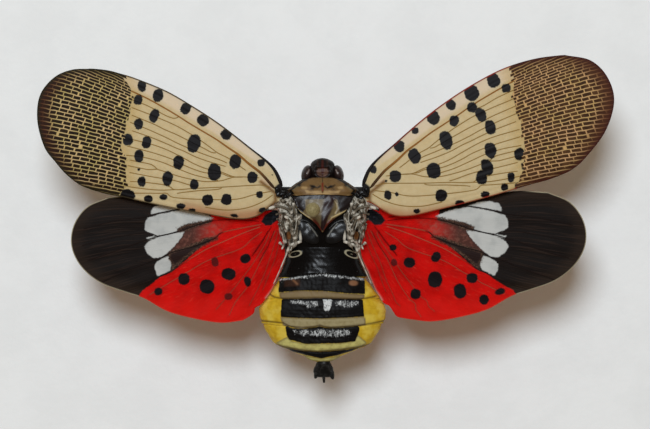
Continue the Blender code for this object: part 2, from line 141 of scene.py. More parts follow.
def area_distance(places: Array, corners: Array | tuple) -> Array:
    """The distance of places from an area's edge, negative inside it by the even-odd rule.

    Args:
        places: places (x, y).
        corners: the area's corners in turn.

    Returns:
        A distance for each place.
    """
    corners = np.asarray(corners, float)
    loop = np.vstack([corners, corners[:1]])
    inside = np.zeros(places.shape[:-1], bool)
    for (x0, y0), (x1, y1) in zip(loop[:-1], loop[1:]):
        crosses = (y0 > places[..., 1]) != (y1 > places[..., 1])
        reach = x0 + (places[..., 1] - y0) / (y1 - y0 if y1 != y0 else 1e-9) * (x1 - x0)
        inside ^= crosses & (places[..., 0] < reach)
    return path_distance(places, loop) * np.where(inside, -1.0, 1.0)


def areas_distance(places: Array, areas: tuple) -> Array:
    """The distance from several areas' edges, negative inside any of them."""
    return np.minimum.reduce([area_distance(places, area) for area in areas])


def spots_distance(places: Array, spots: tuple) -> Array:
    """The distance from the edges of oval spots, negative inside.

    Formula: the ellipse's own radius at the place, less one, times its smaller half.

    Args:
        places: places (x, y).
        spots: rows of centre x, centre y, half width, half height and turn in degrees.

    Returns:
        The least of the spots' distances at each place.
    """
    best = np.full(places.shape[:-1], np.inf)
    for x, y, half_x, half_y, turn in spots:
        angle = math.radians(turn)
        along = (places[..., 0] - x) * math.cos(angle) + (places[..., 1] - y) * math.sin(angle)
        over = (places[..., 1] - y) * math.cos(angle) - (places[..., 0] - x) * math.sin(angle)
        radius = ((np.abs(along) / half_x) ** 2.3 + (np.abs(over) / half_y) ** 2.3) ** (1 / 2.3)
        best = np.minimum(best, (radius - 1.0) * min(half_x, half_y))
    return best


def grid_quads(rows: int, columns: int, closed: bool = False) -> Array:
    """The four-sided faces of a grid of points that are numbered row by row.

    Args:
        rows: rows of points.
        columns: points in a row.
        closed: whether each row closes into a ring.

    Returns:
        Four point numbers for each face.
    """
    i = np.arange(rows - 1)[:, None] * columns
    j = np.arange(columns if closed else columns - 1)[None, :]
    k = (j + 1) % columns
    return np.stack([i + j, i + columns + j, i + columns + k, i + k], -1).reshape(-1, 4)


class Shell:
    """A piece's mesh while it is gathered: closed parts in millimetres, with values on their points."""

    def __init__(self, *fields: str) -> None:
        """Starts an empty shell whose points will carry the named values.

        Args:
            fields: the names.
        """
        self.fields = fields
        self.points: list[Array] = []
        self.faces: list[list[int]] = []
        self.values: dict[str, list[Array]] = {name: [] for name in fields}
        self.maps: list[Array] = []
        self.count = 0

    def add(self, points: Array, quads: Array, triangles: Array, values: dict[str, Array],
            flat: Array | None = None) -> None:
        """Adds one closed part, turned so that its faces point outwards.

        Formula: the sum of each triangle's corner product is six times the volume, negative if inside out.

        Args:
            points: the part's points.
            quads: its four-sided faces, as point numbers.
            triangles: its three-sided faces.
            values: a value for each point, by name; a missing one is 0.
            flat: its two map coordinates for each point.
        """
        points = points.reshape(-1, 3)
        corners = np.vstack([quads[:, [0, 1, 2]], quads[:, [0, 2, 3]], triangles])
        a, b, c = (points[corners[:, k]] for k in range(3))
        if np.einsum("ij,ij->", a, np.cross(b, c)) < 0:
            quads, triangles = quads[:, ::-1], triangles[:, ::-1]
        self.points.append(points)
        self.faces += (quads + self.count).tolist() + (triangles + self.count).tolist()
        for name in self.fields:
            given = np.broadcast_to(np.asarray(values.get(name, 0.0), float).ravel(), (len(points),))
            self.values[name].append(given)
        self.maps.append(np.zeros((len(points), 2)) if flat is None else flat.reshape(-1, 2))
        self.count += len(points)

    def slab(self, top: Array, bottom: Array, values: dict[str, Array], flat: Array | None = None) -> None:
        """Adds a closed sheet: a top grid, a bottom grid, and a rim that joins their edges.

        Args:
            top: the upper grid of points.
            bottom: the lower one.
            values: a value for each point of a grid, by name.
            flat: two map coordinates for each point of a grid.
        """
        rows, columns = top.shape[:2]
        count = rows * columns
        quads = grid_quads(rows, columns)
        index = np.arange(count).reshape(rows, columns)
        edge = np.concatenate([index[0, :-1], index[:-1, -1], index[-1, :0:-1], index[:0:-1, 0]])
        following = np.roll(edge, -1)
        rim = np.stack([edge, following, following + count, edge + count], -1)
        both = {name: np.concatenate([np.broadcast_to(value, (rows, columns)).ravel()] * 2)
                for name, value in values.items()}
        maps = None if flat is None else np.concatenate([flat.reshape(-1, 2)] * 2)
        self.add(np.concatenate([top.reshape(-1, 3), bottom.reshape(-1, 3)]),
                 np.vstack([quads, quads[:, ::-1] + count, rim]), np.zeros((0, 3), int), both, maps)

    def loft(self, rings: Array, values: dict[str, Array] | None = None) -> None:
        """Adds a closed skin over rings of points, each end drawn in to the middle of its ring.

        Args:
            rings: the points, by ring and by side.
            values: a value for each point, by name.
        """
        rows, columns = rings.shape[:2]
        count = rows * columns
        points = np.vstack([rings.reshape(-1, 3), rings[0].mean(0), rings[-1].mean(0)])
        j = np.arange(columns)
        k = (j + 1) % columns
        last = count - columns
        fans = np.vstack([np.stack([np.full(columns, count), j, k], -1),
                          np.stack([np.full(columns, count + 1), last + k, last + j], -1)])
        ended = {}
        for name, value in (values or {}).items():
            full = np.broadcast_to(value, (rows, columns))
            ended[name] = np.concatenate([full.ravel(), [full[0].mean(), full[-1].mean()]])
        self.add(points, grid_quads(rows, columns, True), fans, ended)

    def build(self, name: str, finish: Material, slot: str, *replaced: str) -> bpy.types.Object:
        """Makes the mesh object, dresses it, and ties it to the frame.

        Args:
            name: the piece's name.
            finish: its material.
            slot: the record's material slot; not used.
            replaced: the CAD nodes it stands for.

        Returns:
            The object, at the origin with its place in its mesh.
        """
        mesh = bpy.data.meshes.new(name)
        mesh.from_pydata((np.vstack(self.points) * MM).tolist(), [], self.faces)
        for label in self.fields:
            layer = mesh.attributes.new(label, "FLOAT", "POINT")
            layer.data.foreach_set("value", np.concatenate(self.values[label]).astype(np.float32))
        flat = np.vstack(self.maps)
        if flat.any():
            corners = np.zeros(len(mesh.loops), np.int32)
            mesh.loops.foreach_get("vertex_index", corners)
            mesh.uv_layers.new(name="map").data.foreach_set("uv", flat[corners].astype(np.float32).ravel())
        mesh.shade_smooth()
        mesh.materials.append(finish)
        piece = bpy.data.objects.new(name, mesh)
        bpy.context.scene.collection.objects.link(piece)
        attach(piece, "root")
        if replaced:
            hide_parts(*replaced)
        triangles = sum(len(face) - 2 for face in self.faces)
        log.info("%s: %d points, %d triangles, for %s", name, self.count, triangles, replaced or "itself")
        return piece


def tube_rings(path: Array, radii: Array | float, sides: int, up: tuple = (0.0, 0.0, 1.0)) -> Array:
    """Rings of points round a path.

    Formula: each ring lies square to the path's direction, from cosines across `up` and sines along it.

    Args:
        path: points along the middle.
        radii: the radius at each point.
        sides: points in each ring.
        up: a direction that the path never takes.

    Returns:
        The rings, by path point and by side.
    """
    path = np.asarray(path, float)
    ahead = np.gradient(path, axis=0)
    ahead /= np.linalg.norm(ahead, axis=1)[:, None]
    across = np.cross(ahead, up)
    across /= np.linalg.norm(across, axis=1)[:, None]
    lift = np.cross(across, ahead)
    angles = np.linspace(0.0, 2 * math.pi, sides, endpoint=False)[None, :, None]
    radii = np.broadcast_to(radii, (len(path),))[:, None, None]
    return path[:, None] + radii * (np.cos(angles) * across[:, None] + np.sin(angles) * lift[:, None])


def ball_rings(centre: tuple, halves: tuple, yaw: float = 0.0, rows: int = 40, sides: int = 64,
               bumps: tuple | None = None) -> Array:
    """Rings of a ball stretched to its half sizes, from its rear pole to its front one.

    Formula: x, y, z are the half sizes times the cosines and sines of longitude and latitude.

    Args:
        centre: its middle.
        halves: its half sizes.
        yaw: its turn about the upright axis, in degrees.
        rows: rings.
        sides: points a ring.
        bumps: the length, height and seed of an unevenness over it.

    Returns:
        The rings.
    """
    latitude = np.linspace(-math.pi / 2 + 0.03, math.pi / 2 - 0.03, rows)[:, None]
    longitude = np.linspace(0.0, 2 * math.pi, sides, endpoint=False)[None, :]
    unit = np.stack([np.cos(latitude) * np.cos(longitude), np.sin(latitude) + 0 * longitude,
                     np.cos(latitude) * np.sin(longitude)], -1)
    shape = unit * np.array(halves)
    if bumps:
        size, height, seed = bumps
        shape = shape + unit * height * ripple(shape, size, seed)[..., None]
    angle = math.radians(yaw)
    turned = np.stack([shape[..., 0] * math.cos(angle) - shape[..., 1] * math.sin(angle),
                       shape[..., 0] * math.sin(angle) + shape[..., 1] * math.cos(angle), shape[..., 2]], -1)
    return turned + np.array(centre)


def section_rings(stations: tuple, places: Array, sides: int) -> tuple[Array, Array]:
    """Body sections along the length, between given stations.

    Formula: at polar angle a the radius is one over the n-th root of (|cos a| / w)^n + (|sin a| / h)^n,
    with w the half width, h the height above or below the widest level, and n the roundness.

    Args:
        stations: rows of y, half width, bottom, widest level, top and roundness, from front to rear.
        places: the y of each ring, in the same order.
        sides: points in each ring.

    Returns:
        The rings, and the outward direction at each point.
    """
    table = np.array(stations, float)
    sizes = (np.interp(-places, -table[:, 0], table[:, k])[:, None] for k in range(1, 6))
    width, bottom, middle, top, roundness = sizes
    angles = np.linspace(0.0, 2 * math.pi, sides, endpoint=False)[None, :]
    height = np.where(np.sin(angles) > 0, top - middle, middle - bottom)
    radius = ((np.abs(np.cos(angles)) / width) ** roundness
              + (np.abs(np.sin(angles)) / height) ** roundness) ** (-1 / roundness)
    outward = np.stack([np.cos(angles), 0 * angles, np.sin(angles)], -1) + np.zeros((len(places), 1, 1))
    rings = outward * radius[..., None]
    rings[..., 1] = places[:, None]
    rings[..., 2] += middle
    return rings, outward


# ---- finishes ----

class Signal:
    """A number that varies over a surface, held as a node's socket, with arithmetic."""

    def __init__(self, paint: "Paint", socket: Socket) -> None:
        """Wraps a socket of a paint's tree."""
        self.paint = paint
        self.socket = socket

    def _math(self, operation: str, *values: "Signal | float") -> "Signal":
        """One Math node on the given values, in their order."""
        node = self.paint.node("ShaderNodeMath", {"operation": operation}, dict(enumerate(values)))
        return Signal(self.paint, node.outputs[0])

    def __add__(self, other: "Signal | float") -> "Signal":
        """Sum."""
        return self._math("ADD", self, other)

    def __sub__(self, other: "Signal | float") -> "Signal":
        """Difference."""
        return self._math("SUBTRACT", self, other)

    def __rsub__(self, other: float) -> "Signal":
        """A number less this."""
        return self._math("SUBTRACT", other, self)

    def __mul__(self, other: "Signal | float") -> "Signal":
        """Product."""
        return self._math("MULTIPLY", self, other)

    __radd__ = __add__
    __rmul__ = __mul__

    def most(self, other: "Signal | float") -> "Signal":
        """The larger of the two."""
        return self._math("MAXIMUM", self, other)

    def size(self) -> "Signal":
        """Its amount without sign."""
        return self._math("ABSOLUTE", self)

    def whole(self) -> "Signal":
        """The whole number below it."""
        return self._math("FLOOR", self)

    def rest(self) -> "Signal":
        """Its fraction above the whole number below it."""
        return self._math("FRACT", self)

    def rise(self, low: float, high: float) -> "Signal":
        """A soft step.

        Args:
            low: where it is 0.
            high: where it is 1, above or below low.

        Returns:
            The step.
        """
        back = low > high
        node = self.paint.node("ShaderNodeMapRange", {"interpolation_type": "SMOOTHSTEP", "clamp": True},
                               {"Value": self, "From Min": min(low, high), "From Max": max(low, high),
                                "To Min": float(back), "To Max": float(not back)})
        return Signal(self.paint, node.outputs[0])


def tone(red: float, green: float, blue: float) -> tuple[float, float, float, float]:
    """A colour given in 0 to 255 display steps, as linear light."""
    linear = [((c / 255 + 0.055) / 1.055) ** 2.4 if c > 10 else c / 255 / 12.92 for c in (red, green, blue)]
    return (*linear, 1.0)


Colour = tuple[int, int, int] | Socket


class Paint:
    """A material's node tree, and short ways to add to it."""

    def __init__(self, name: str) -> None:
        """Starts a material with nodes.

        Args:
            name: its name.
        """
        self.material = bpy.data.materials.new(name)
        self.material.use_nodes = True
        self.tree = self.material.node_tree
        self.tree.nodes.clear()
        self.place = self.node("ShaderNodeTexCoord", {}, {}).outputs["Object"]

    def node(self, kind: str, settings: dict, inputs: dict) -> bpy.types.Node:
        """Adds a node.

        Args:
            kind: the node's type.
            settings: its properties, set first.
            inputs: values, sockets or signals, by socket name or number.

        Returns:
            The node.
        """
        node = self.tree.nodes.new(kind)
        for label, value in settings.items():
            setattr(node, label, value)
        for label, value in inputs.items():
            if isinstance(value, Signal):
                value = value.socket
            if isinstance(value, Socket):
                self.tree.links.new(value, node.inputs[label])
            else:
                node.inputs[label].default_value = value
        return node

    def field(self, name: str) -> Signal:
        """A value carried by the mesh's points."""
        node = self.node("ShaderNodeAttribute", {"attribute_name": name, "attribute_type": "GEOMETRY"}, {})
        return Signal(self, node.outputs["Fac"])

    def flat(self) -> tuple[Signal, Signal]:
        """The two map coordinates of the mesh.

        Returns:
            Both, each as a signal.
        """
        source = self.node("ShaderNodeUVMap", {"uv_map": "map"}, {})
        parts = self.node("ShaderNodeSeparateXYZ", {}, {0: source.outputs[0]})
        return Signal(self, parts.outputs[0]), Signal(self, parts.outputs[1])

    def vector(self, x: Signal | float, y: Signal | float, z: Signal | float = 0.0) -> Socket:
        """A vector from three numbers."""
        return self.node("ShaderNodeCombineXYZ", {}, {0: x, 1: y, 2: z}).outputs[0]

    def stretched(self, x: float, y: float, z: float) -> Socket:
        """The surface's place with its axes scaled, in units per metre."""
        inputs = {"Vector": self.place, "Scale": (x, y, z)}
        return self.node("ShaderNodeMapping", {"vector_type": "POINT"}, inputs).outputs[0]

    def noise(self, per_mm: float, detail: float = 2.0, rough: float = 0.55,
              vector: Socket | None = None) -> Signal:
        """Cloudy noise, about 0.5 in the mean.

        Args:
            per_mm: lumps to the millimetre, or to the vector's unit.
            detail: how many finer noises are added.
            rough: how strong they are.
            vector: where it is read, in place of the surface's place.

        Returns:
            The noise.
        """
        scale = per_mm / MM if vector is None else per_mm
        inputs = {"Vector": vector or self.place, "Scale": scale, "Detail": detail, "Roughness": rough}
        return Signal(self, self.node("ShaderNodeTexNoise", {"noise_dimensions": "3D"}, inputs).outputs[0])

    def chance(self, value: Signal, offset: float = 0.0) -> Signal:
        """A random number from 0 to 1 for each value."""
        node = self.node("ShaderNodeTexWhiteNoise", {"noise_dimensions": "1D"}, {"W": value + offset})
        return Signal(self, node.outputs["Value"])

    def mix(self, share: Signal | float, below: Colour, above: Colour) -> Socket:
        """One colour over another.

        Args:
            share: how much of the upper one shows.
            below: the lower colour, as a socket or as three display steps.
            above: the upper one.

        Returns:
            The mixed colour.
        """
        below, above = (tone(*colour) if isinstance(colour, tuple) else colour for colour in (below, above))
        settings = {"data_type": "RGBA", "blend_type": "MIX", "clamp_factor": True}
        return self.node("ShaderNodeMix", settings, {0: share, 6: below, 7: above}).outputs[2]

    def bump(self, height: Signal, depth_mm: float, strength: float = 1.0) -> Socket:
        """A relief from a height signal, whose unit is worth a depth in millimetres."""
        inputs = {"Strength": strength, "Distance": depth_mm * MM, "Height": height}
        return self.node("ShaderNodeBump", {}, inputs).outputs[0]

    def finish(self, colour: Socket, roughness: Signal | float, relief: Socket | None = None,
               glow: tuple | None = None, **constants: float | tuple) -> Material:
        """Ends the tree with a Principled surface.

        Args:
            colour: the base colour.
            roughness: the roughness.
            relief: a bump, if any.
            glow: the colour of light let through, in display steps, and the share that is, if any.
            constants: other sockets' fixed values, with _ for a space in their names.

        Returns:
            The material.
        """
        inputs = {"Base Color": colour, "Roughness": roughness}
        if relief is not None:
            inputs["Normal"] = relief
        inputs.update({label.replace("_", " "): value for label, value in constants.items()})
        surface = self.node("ShaderNodeBsdfPrincipled", {}, inputs).outputs[0]
        if glow:
            through = self.node("ShaderNodeBsdfTranslucent", {}, {"Color": tone(*glow[0])}).outputs[0]
            surface = self.node("ShaderNodeMixShader", {}, {0: glow[1], 1: surface, 2: through}).outputs[0]
        self.node("ShaderNodeOutputMaterial", {}, {"Surface": surface})
        return self.material


@dataclass(frozen=True)
class ForewingFinish:
    """Tan membrane with black spots and, at the tip, dark brown bricks between pale cross veins."""

    side: Side
    cream: tuple = (218, 203, 160)
    tan: tuple = (211, 194, 149)
    pale: tuple = (232, 219, 196)
    vein: tuple = (150, 118, 60)
    spot: tuple = (11, 8, 9)
    brick: tuple = (26, 13, 4)
    mortar: tuple = (222, 194, 138)

    def sided(self, left: tuple, right: tuple) -> tuple:
        """One of two colours, by the side."""
        return right if self.side is Side.RIGHT else left

    def paint(self) -> Material:
        """Works out the material.

        Returns:
            The material.
        """
        p = Paint(f"forewing_finish_{self.side.word}")
        along, row = p.flat()
        row = row + (p.noise(1.3, 1.0) - 0.5) * 0.42
        grain = p.noise(2.2, 3.0)
        fine = p.noise(9.0, 2.0)
        edge, costal = p.field("edge"), p.field("costal")
        base = p.mix(grain.rise(0.3, 0.7), self.cream, self.tan)
        base = p.mix(p.field("front") * 0.75, base, self.pale)
        base = p.mix(p.field("rust") * 0.7, base, (168, 104, 66))
        netted = p.field("tip") + (p.chance(row.whole()) - 0.5) * 0.34
        base = p.mix(netted.rise(-1.5, -0.1) * 0.5, base, (196, 168, 100))
        vein = p.field("vein")
        warm = self.sided((120, 98, 62), (150, 74, 44))
        # Painted highlight: a pale strip along the stout vein at the root.
        base = p.mix(p.field("root_highlight"), base, (232, 206, 172))
        base = p.mix(p.field("brown"), base, (112, 72, 28))
        base = p.mix(vein.rise(0.2, 0.6), base, p.mix(costal.rise(0.2, 0.1), self.vein, warm))
        base = p.mix(p.field("strong"), base, (150, 98, 44))
        spot = (p.field("spot") + (grain - 0.5) * 0.26 + (fine - 0.5) * 0.12).rise(0.04, -0.04)
        # Painted sheen: faint grey flecks over the black spots stand in for their soft reflections.
        spot_sheen = p.mix(fine.rise(0.45, 0.75) * 0.4, self.spot, (40, 36, 40))
        base = p.mix(spot, base, spot_sheen)

        number = row.whole()
        cell = (row.rest() - 0.5).size()
        drift = p.noise(1.0, 1.0, 0.5, p.vector(along * 0.6, number * 3.7))
        step = along * 1.15 + p.chance(number, 9.0) * 7.0 + drift * 1.7
        cross = (step.rest() - 0.5).size()
        dark = edge.rise(1.9, 0.2) * (p.field("far") * 0.8 + 0.2)
        mortar = cell.rise(0.32, 0.43).most(cross.rise(0.42, 0.47) * edge.rise(0.3, 0.9))
        mortar = mortar * (1.0 - dark * 0.75)
        cloud = p.noise(0.55, 2.0)
        brick = p.mix(p.noise(1.4, 2.0).rise(0.4, 0.7), self.sided(self.brick, (54, 32, 13)),
                      self.sided((40, 27, 11), (82, 54, 28)))
        brick = p.mix(dark, brick, self.sided((44, 19, 8), (66, 34, 17)))
        pale = p.mix(cloud.rise(0.35, 0.65), self.sided(self.mortar, (218, 176, 126)),
                     self.sided((206, 186, 120), (206, 172, 112)))
        pale = p.mix(dark, pale, self.sided((138, 88, 54), (158, 106, 68)))
        net = p.mix(mortar, brick, pale)
        inner = netted.rise(-0.03, 0.03)
        colour = p.mix(inner, base, net)
        rim = self.sided((58, 50, 34), (142, 40, 28))
        end = self.sided((34, 30, 14), (60, 24, 18))
        colour = p.mix(edge.rise(0.15, 0.05) * 0.85, colour, p.mix(inner, rim, end))
        colour = p.mix(inner * edge.rise(0.45, 0.1) * 0.7, colour, end)
        colour = p.mix(p.field("root"), colour, (26, 22, 22))
        height = grain * 0.2 + fine * 0.12 + mortar * inner * 0.9
        open_skin = (1.0 - spot.most(inner * (1.0 - mortar))) * (1.0 - p.field("root"))
        return p.finish(colour, 0.52 + fine * 0.1 - spot * 0.1, p.bump(height, 0.03, 0.7),
                        ((240, 205, 150), open_skin * 0.3), Specular_IOR_Level=0.07)


@dataclass(frozen=True)
class HindwingFinish:
    """Scarlet membrane with black spots, then white cells and a blackish brown outer third."""

    scarlet: tuple = (216, 12, 9)
    crimson: tuple = (182, 7, 5)
    brown: tuple = (15, 8, 5)
    chalk: tuple = (184, 185, 181)

    def paint(self) -> Material:
        """Works out the material.

        Returns:
            The material.
        """
        p = Paint("hindwing_finish")
        along, across = p.flat()
        cloud = p.noise(0.7, 3.0)
        grain = p.noise(3.0, 3.0)
        fine = p.noise(10.0, 2.0)
        rays = p.noise(1.0, 2.0, 0.6, p.vector(along * 0.22, across * 3.0))
        lines = rays.rise(0.48, 0.68)
        dark = p.mix(lines * 0.7, self.brown, (44, 31, 24))
        dark = p.mix(p.field("edge").rise(1.6, 0.2) * 0.35, dark, (52, 38, 27))
        red = p.mix(cloud.rise(0.35, 0.7), self.scarlet, self.crimson)
        fleck = p.noise(1.0, 3.0, 0.7, p.vector(along * 1.1, across * 2.6)).rise(0.56, 0.72)
        red = p.mix(fleck * 0.5, red, (236, 96, 74))
        red = p.mix(p.field("low") * 0.6, red, (226, 34, 26))
        ragged = (grain - 0.5) * 0.36 + (fine - 0.5) * 0.24
        shade = p.field("red")
        colour = p.mix((shade + ragged * 0.5).rise(0.06, -0.06), dark, red)
        pink = p.mix(p.field("blush"), (76, 44, 36), (182, 40, 31))
        pink = p.mix(grain.rise(0.45, 0.65) * 0.4, pink, (138, 88, 74))
        colour = p.mix((p.field("fade") + ragged).rise(0.3, -0.3) * 0.92, colour, pink)
        white = p.mix(cloud.rise(0.4, 0.7), self.chalk, (168, 170, 167))
        colour = p.mix((p.field("white") + ragged * 0.5).rise(0.06, -0.06), colour, white)
        streak = p.field("streak")
        stipple = p.mix(fine.rise(0.45, 0.6), (48, 32, 24), (104, 78, 62))
        colour = p.mix((streak + ragged * 1.5).rise(0.14, -0.1), colour,
                       p.mix(streak.rise(-0.3, 0.0), (34, 20, 17), stipple))
        vein = p.field("vein")
        ribs = p.mix(shade.rise(0.05, -0.05), (22, 13, 10), (92, 10, 8))
        ribs = p.mix(p.field("pale") * shade.rise(0.0, -0.3), ribs, (206, 150, 112))
        colour = p.mix(vein * 0.85, colour, ribs)
        colour = p.mix(p.field("strand"), colour, (222, 190, 172))
        spot = (p.field("spot") + ragged * 0.4).rise(0.05, -0.05)
        dim = p.mix(p.field("faint"), (13, 6, 8), (84, 12, 10))
        colour = p.mix(spot, colour, dim)
        wedge = (p.field("wedge") + ragged * 0.3).rise(0.08, -0.08)
        colour = p.mix(wedge, colour, p.mix(grain.rise(0.5, 0.7) * 0.4, (11, 11, 15), (52, 54, 64)))
        outer = p.mix(shade.rise(0.1, -0.1), (178, 168, 140), (206, 100, 80))
        colour = p.mix(p.field("edge").rise(0.1, 0.03) * p.field("open") * 0.8, colour, outer)
        height = grain * 0.5 + fine * 0.15 + lines * 0.3
        return p.finish(colour, 0.5 + fine * 0.12, p.bump(height, 0.04, 0.7),
                        ((255, 96, 74), shade.rise(0.05, -0.1) * (1.0 - spot.most(wedge)) * 0.5),
                        Specular_IOR_Level=0.06)


@dataclass(frozen=True)
class AbdomenFinish:
    """Yellow skin with frosted black plates, cream hind margins and pale rings; black thorax in front."""

    yellow: tuple = (198, 164, 40)
    cream: tuple = (152, 140, 104)
    black: tuple = (8, 7, 7)
    frost: tuple = (212, 215, 214)

    def paint(self) -> Material:
        """Works out the material.

        Returns:
            The material.
        """
        p = Paint("abdomen_finish")
        grain = p.noise(2.4, 4.0, 0.6)
        fine = p.noise(9.0, 3.0, 0.65)
        ragged = (grain - 0.5) * 0.16 + (fine - 0.5) * 0.1
        yellow = p.mix(grain.rise(0.35, 0.7) * 0.6, self.yellow, (168, 132, 24))
        yellow = p.mix(p.noise(0.8, 2.0).rise(0.45, 0.65) * 0.6, yellow, (216, 194, 84))
        band = p.field("cream")
        tint = p.field("tint")
        cream = p.mix(tint.rise(0.0, 0.5), (124, 106, 76), self.cream)
        cream = p.mix(tint.rise(0.5, 1.0), cream, (190, 182, 110))
        cream = p.mix(grain.rise(0.4, 0.7) * 0.4, cream, (116, 100, 60))
        # Painted shade: each cream band darkens towards its edges, where it dips under the black plates.
        cream = p.mix(band.rise(-0.2, 0.04) * 0.7, cream, (78, 60, 38))
        colour = p.mix((band + ragged * 1.4).rise(0.12, -0.08), yellow, cream)
        # Painted shade: the creases between the plates are darkened.
        colour = p.mix(p.field("crease") * 0.8, colour, (58, 42, 22))
        black = p.mix(fine.rise(0.5, 0.8) * 0.35, self.black, (34, 31, 31))
        hairs = p.noise(1.0, 3.0, 0.65, p.stretched(7500, 2600, 4000))
        crystals = p.field("frost") + (fine - 0.5) * 1.3 + (hairs - 0.5) * 1.5 + (grain - 0.5) * 0.8
        frosted = crystals.rise(0.4, 1.1)
        black = p.mix(frosted * 0.95, black, self.frost)
        ring = p.field("ring")
        black = p.mix(ring.rise(0.35, 0.8) * 0.75, black, (176, 168, 140))
        black = p.mix(p.field("brown") * 0.8, black, (52, 32, 22))
        black = p.mix(p.field("orange") * 0.85, black, (134, 94, 66))
        plate = (p.field("black") + ragged * 0.5).rise(0.04, -0.04)
        colour = p.mix(plate, colour, black)
        gloss = p.field("gloss")
        height = (grain * 0.5 + fine * 0.3) * (1.0 - gloss * 0.85) + frosted * plate * 0.4
        rough = 0.42 + fine * 0.16 + frosted * plate * 0.3 - gloss * 0.3
        return p.finish(colour, rough, p.bump(height, 0.05, 0.8), Specular_IOR_Level=0.1)


@dataclass(frozen=True)
class CuticleFinish:
    """Mottled hard skin: a ground colour, darker or paler patches by a carried value, and fine pits."""

    name: str
    ground: tuple
    patch: tuple
    light: tuple
    roughness: float = 0.4
    wax: float = 0.0
    coat: float = 0.0
    lumps: float = 2.5
    relief: float = 0.05
    stain: tuple = ()
    accent: tuple = ()
    shine: float = 0.16

    def paint(self) -> Material:
        """Works out the material: `shade` goes from patch (0) through ground (0.5) to light (1).

        Returns:
            The material.
        """
        p = Paint(self.name)
        grain = p.noise(self.lumps, 4.0, 0.6)
        fine = p.noise(self.lumps * 4.5, 3.0, 0.65)
        shade = p.field("shade") + (grain - 0.5) * 0.35 + (fine - 0.5) * 0.2
        colour = p.mix(shade.rise(0.2, 0.5), self.patch, self.ground)
        colour = p.mix(shade.rise(0.55, 0.95), colour, self.light)
        for label, tint in (("stain", self.stain), ("accent", self.accent)):
            if tint:
                share = (p.field(label) + (grain - 0.5) * 0.4 + (fine - 0.5) * 0.3).rise(0.2, 0.8)
                colour = p.mix(share, colour, tint)
        if self.wax:
            dust = (fine * 0.7 + grain * 0.6).rise(0.62, 0.85) * self.wax
            colour = p.mix(dust, colour, (186, 184, 176))
        height = grain * 0.6 + fine * 0.4
        return p.finish(colour, self.roughness + fine * 0.14, p.bump(height, self.relief, 0.8),
                        Specular_IOR_Level=self.shine, Coat_Weight=self.coat, Coat_Roughness=0.16)


# ---- the photograph's frame ----

@dataclass(frozen=True)
class View:
    """The camera over the specimen: where a place shows in the picture, and back."""

    centre: Point = (0.225, 2.745)
    height: float = 257.75
    level: float = 14.0
    middle: Point = (325.0, 214.5)
    step: float = 0.09
    lens: float = 150.0
    midline: float = 322.5

    def pixels(self, points: Array) -> Array:
        """Picture columns and rows of places in millimetres: offsets shrink away from the lens.

        Args:
            points: places x, y, z.

        Returns:
            A column and a row for each.
        """
        near = (self.height - self.level) / (self.height - points[..., 2]) / self.step
        return np.stack([self.middle[0] + (points[..., 0] - self.centre[0]) * near,
                         self.middle[1] - (points[..., 1] - self.centre[1]) * near], -1)

    def places(self, pixels: Array, level: Array | float) -> Array:
        """Places x and y in millimetres of picture columns and rows, at a level.

        Args:
            pixels: columns and rows.
            level: the height, or one for each.

        Returns:
            The places x and y.
        """
        pixels = np.asarray(pixels, float)
        far = self.step * (self.height - level) / (self.height - self.level)
        return np.stack([self.centre[0] + (pixels[..., 0] - self.middle[0]) * far,
                         self.centre[1] - (pixels[..., 1] - self.middle[1]) * far], -1)

    def points(self, pixels: Array, level: float | Array) -> Array:
        """The points in space at these picture places and this height.

        Args:
            pixels: columns and rows.
            level: the height, or one for each.

        Returns:
            The points x, y, z.
        """
        flat = self.places(pixels, level)
        height = np.broadcast_to(np.asarray(level, float), flat.shape[:-1])
        return np.concatenate([flat, height[..., None]], -1)

    def folded(self, points: Array) -> Array:
        """Picture columns and rows of places, with the right half folded onto the left."""
        return self.fold(self.pixels(points))

    def fold(self, at: Array) -> Array:
        """These columns and rows with the right half folded onto the left."""
        return np.stack([self.midline - np.abs(at[..., 0] - self.midline), at[..., 1]], -1)


VIEW = View()


# ---- wings ----

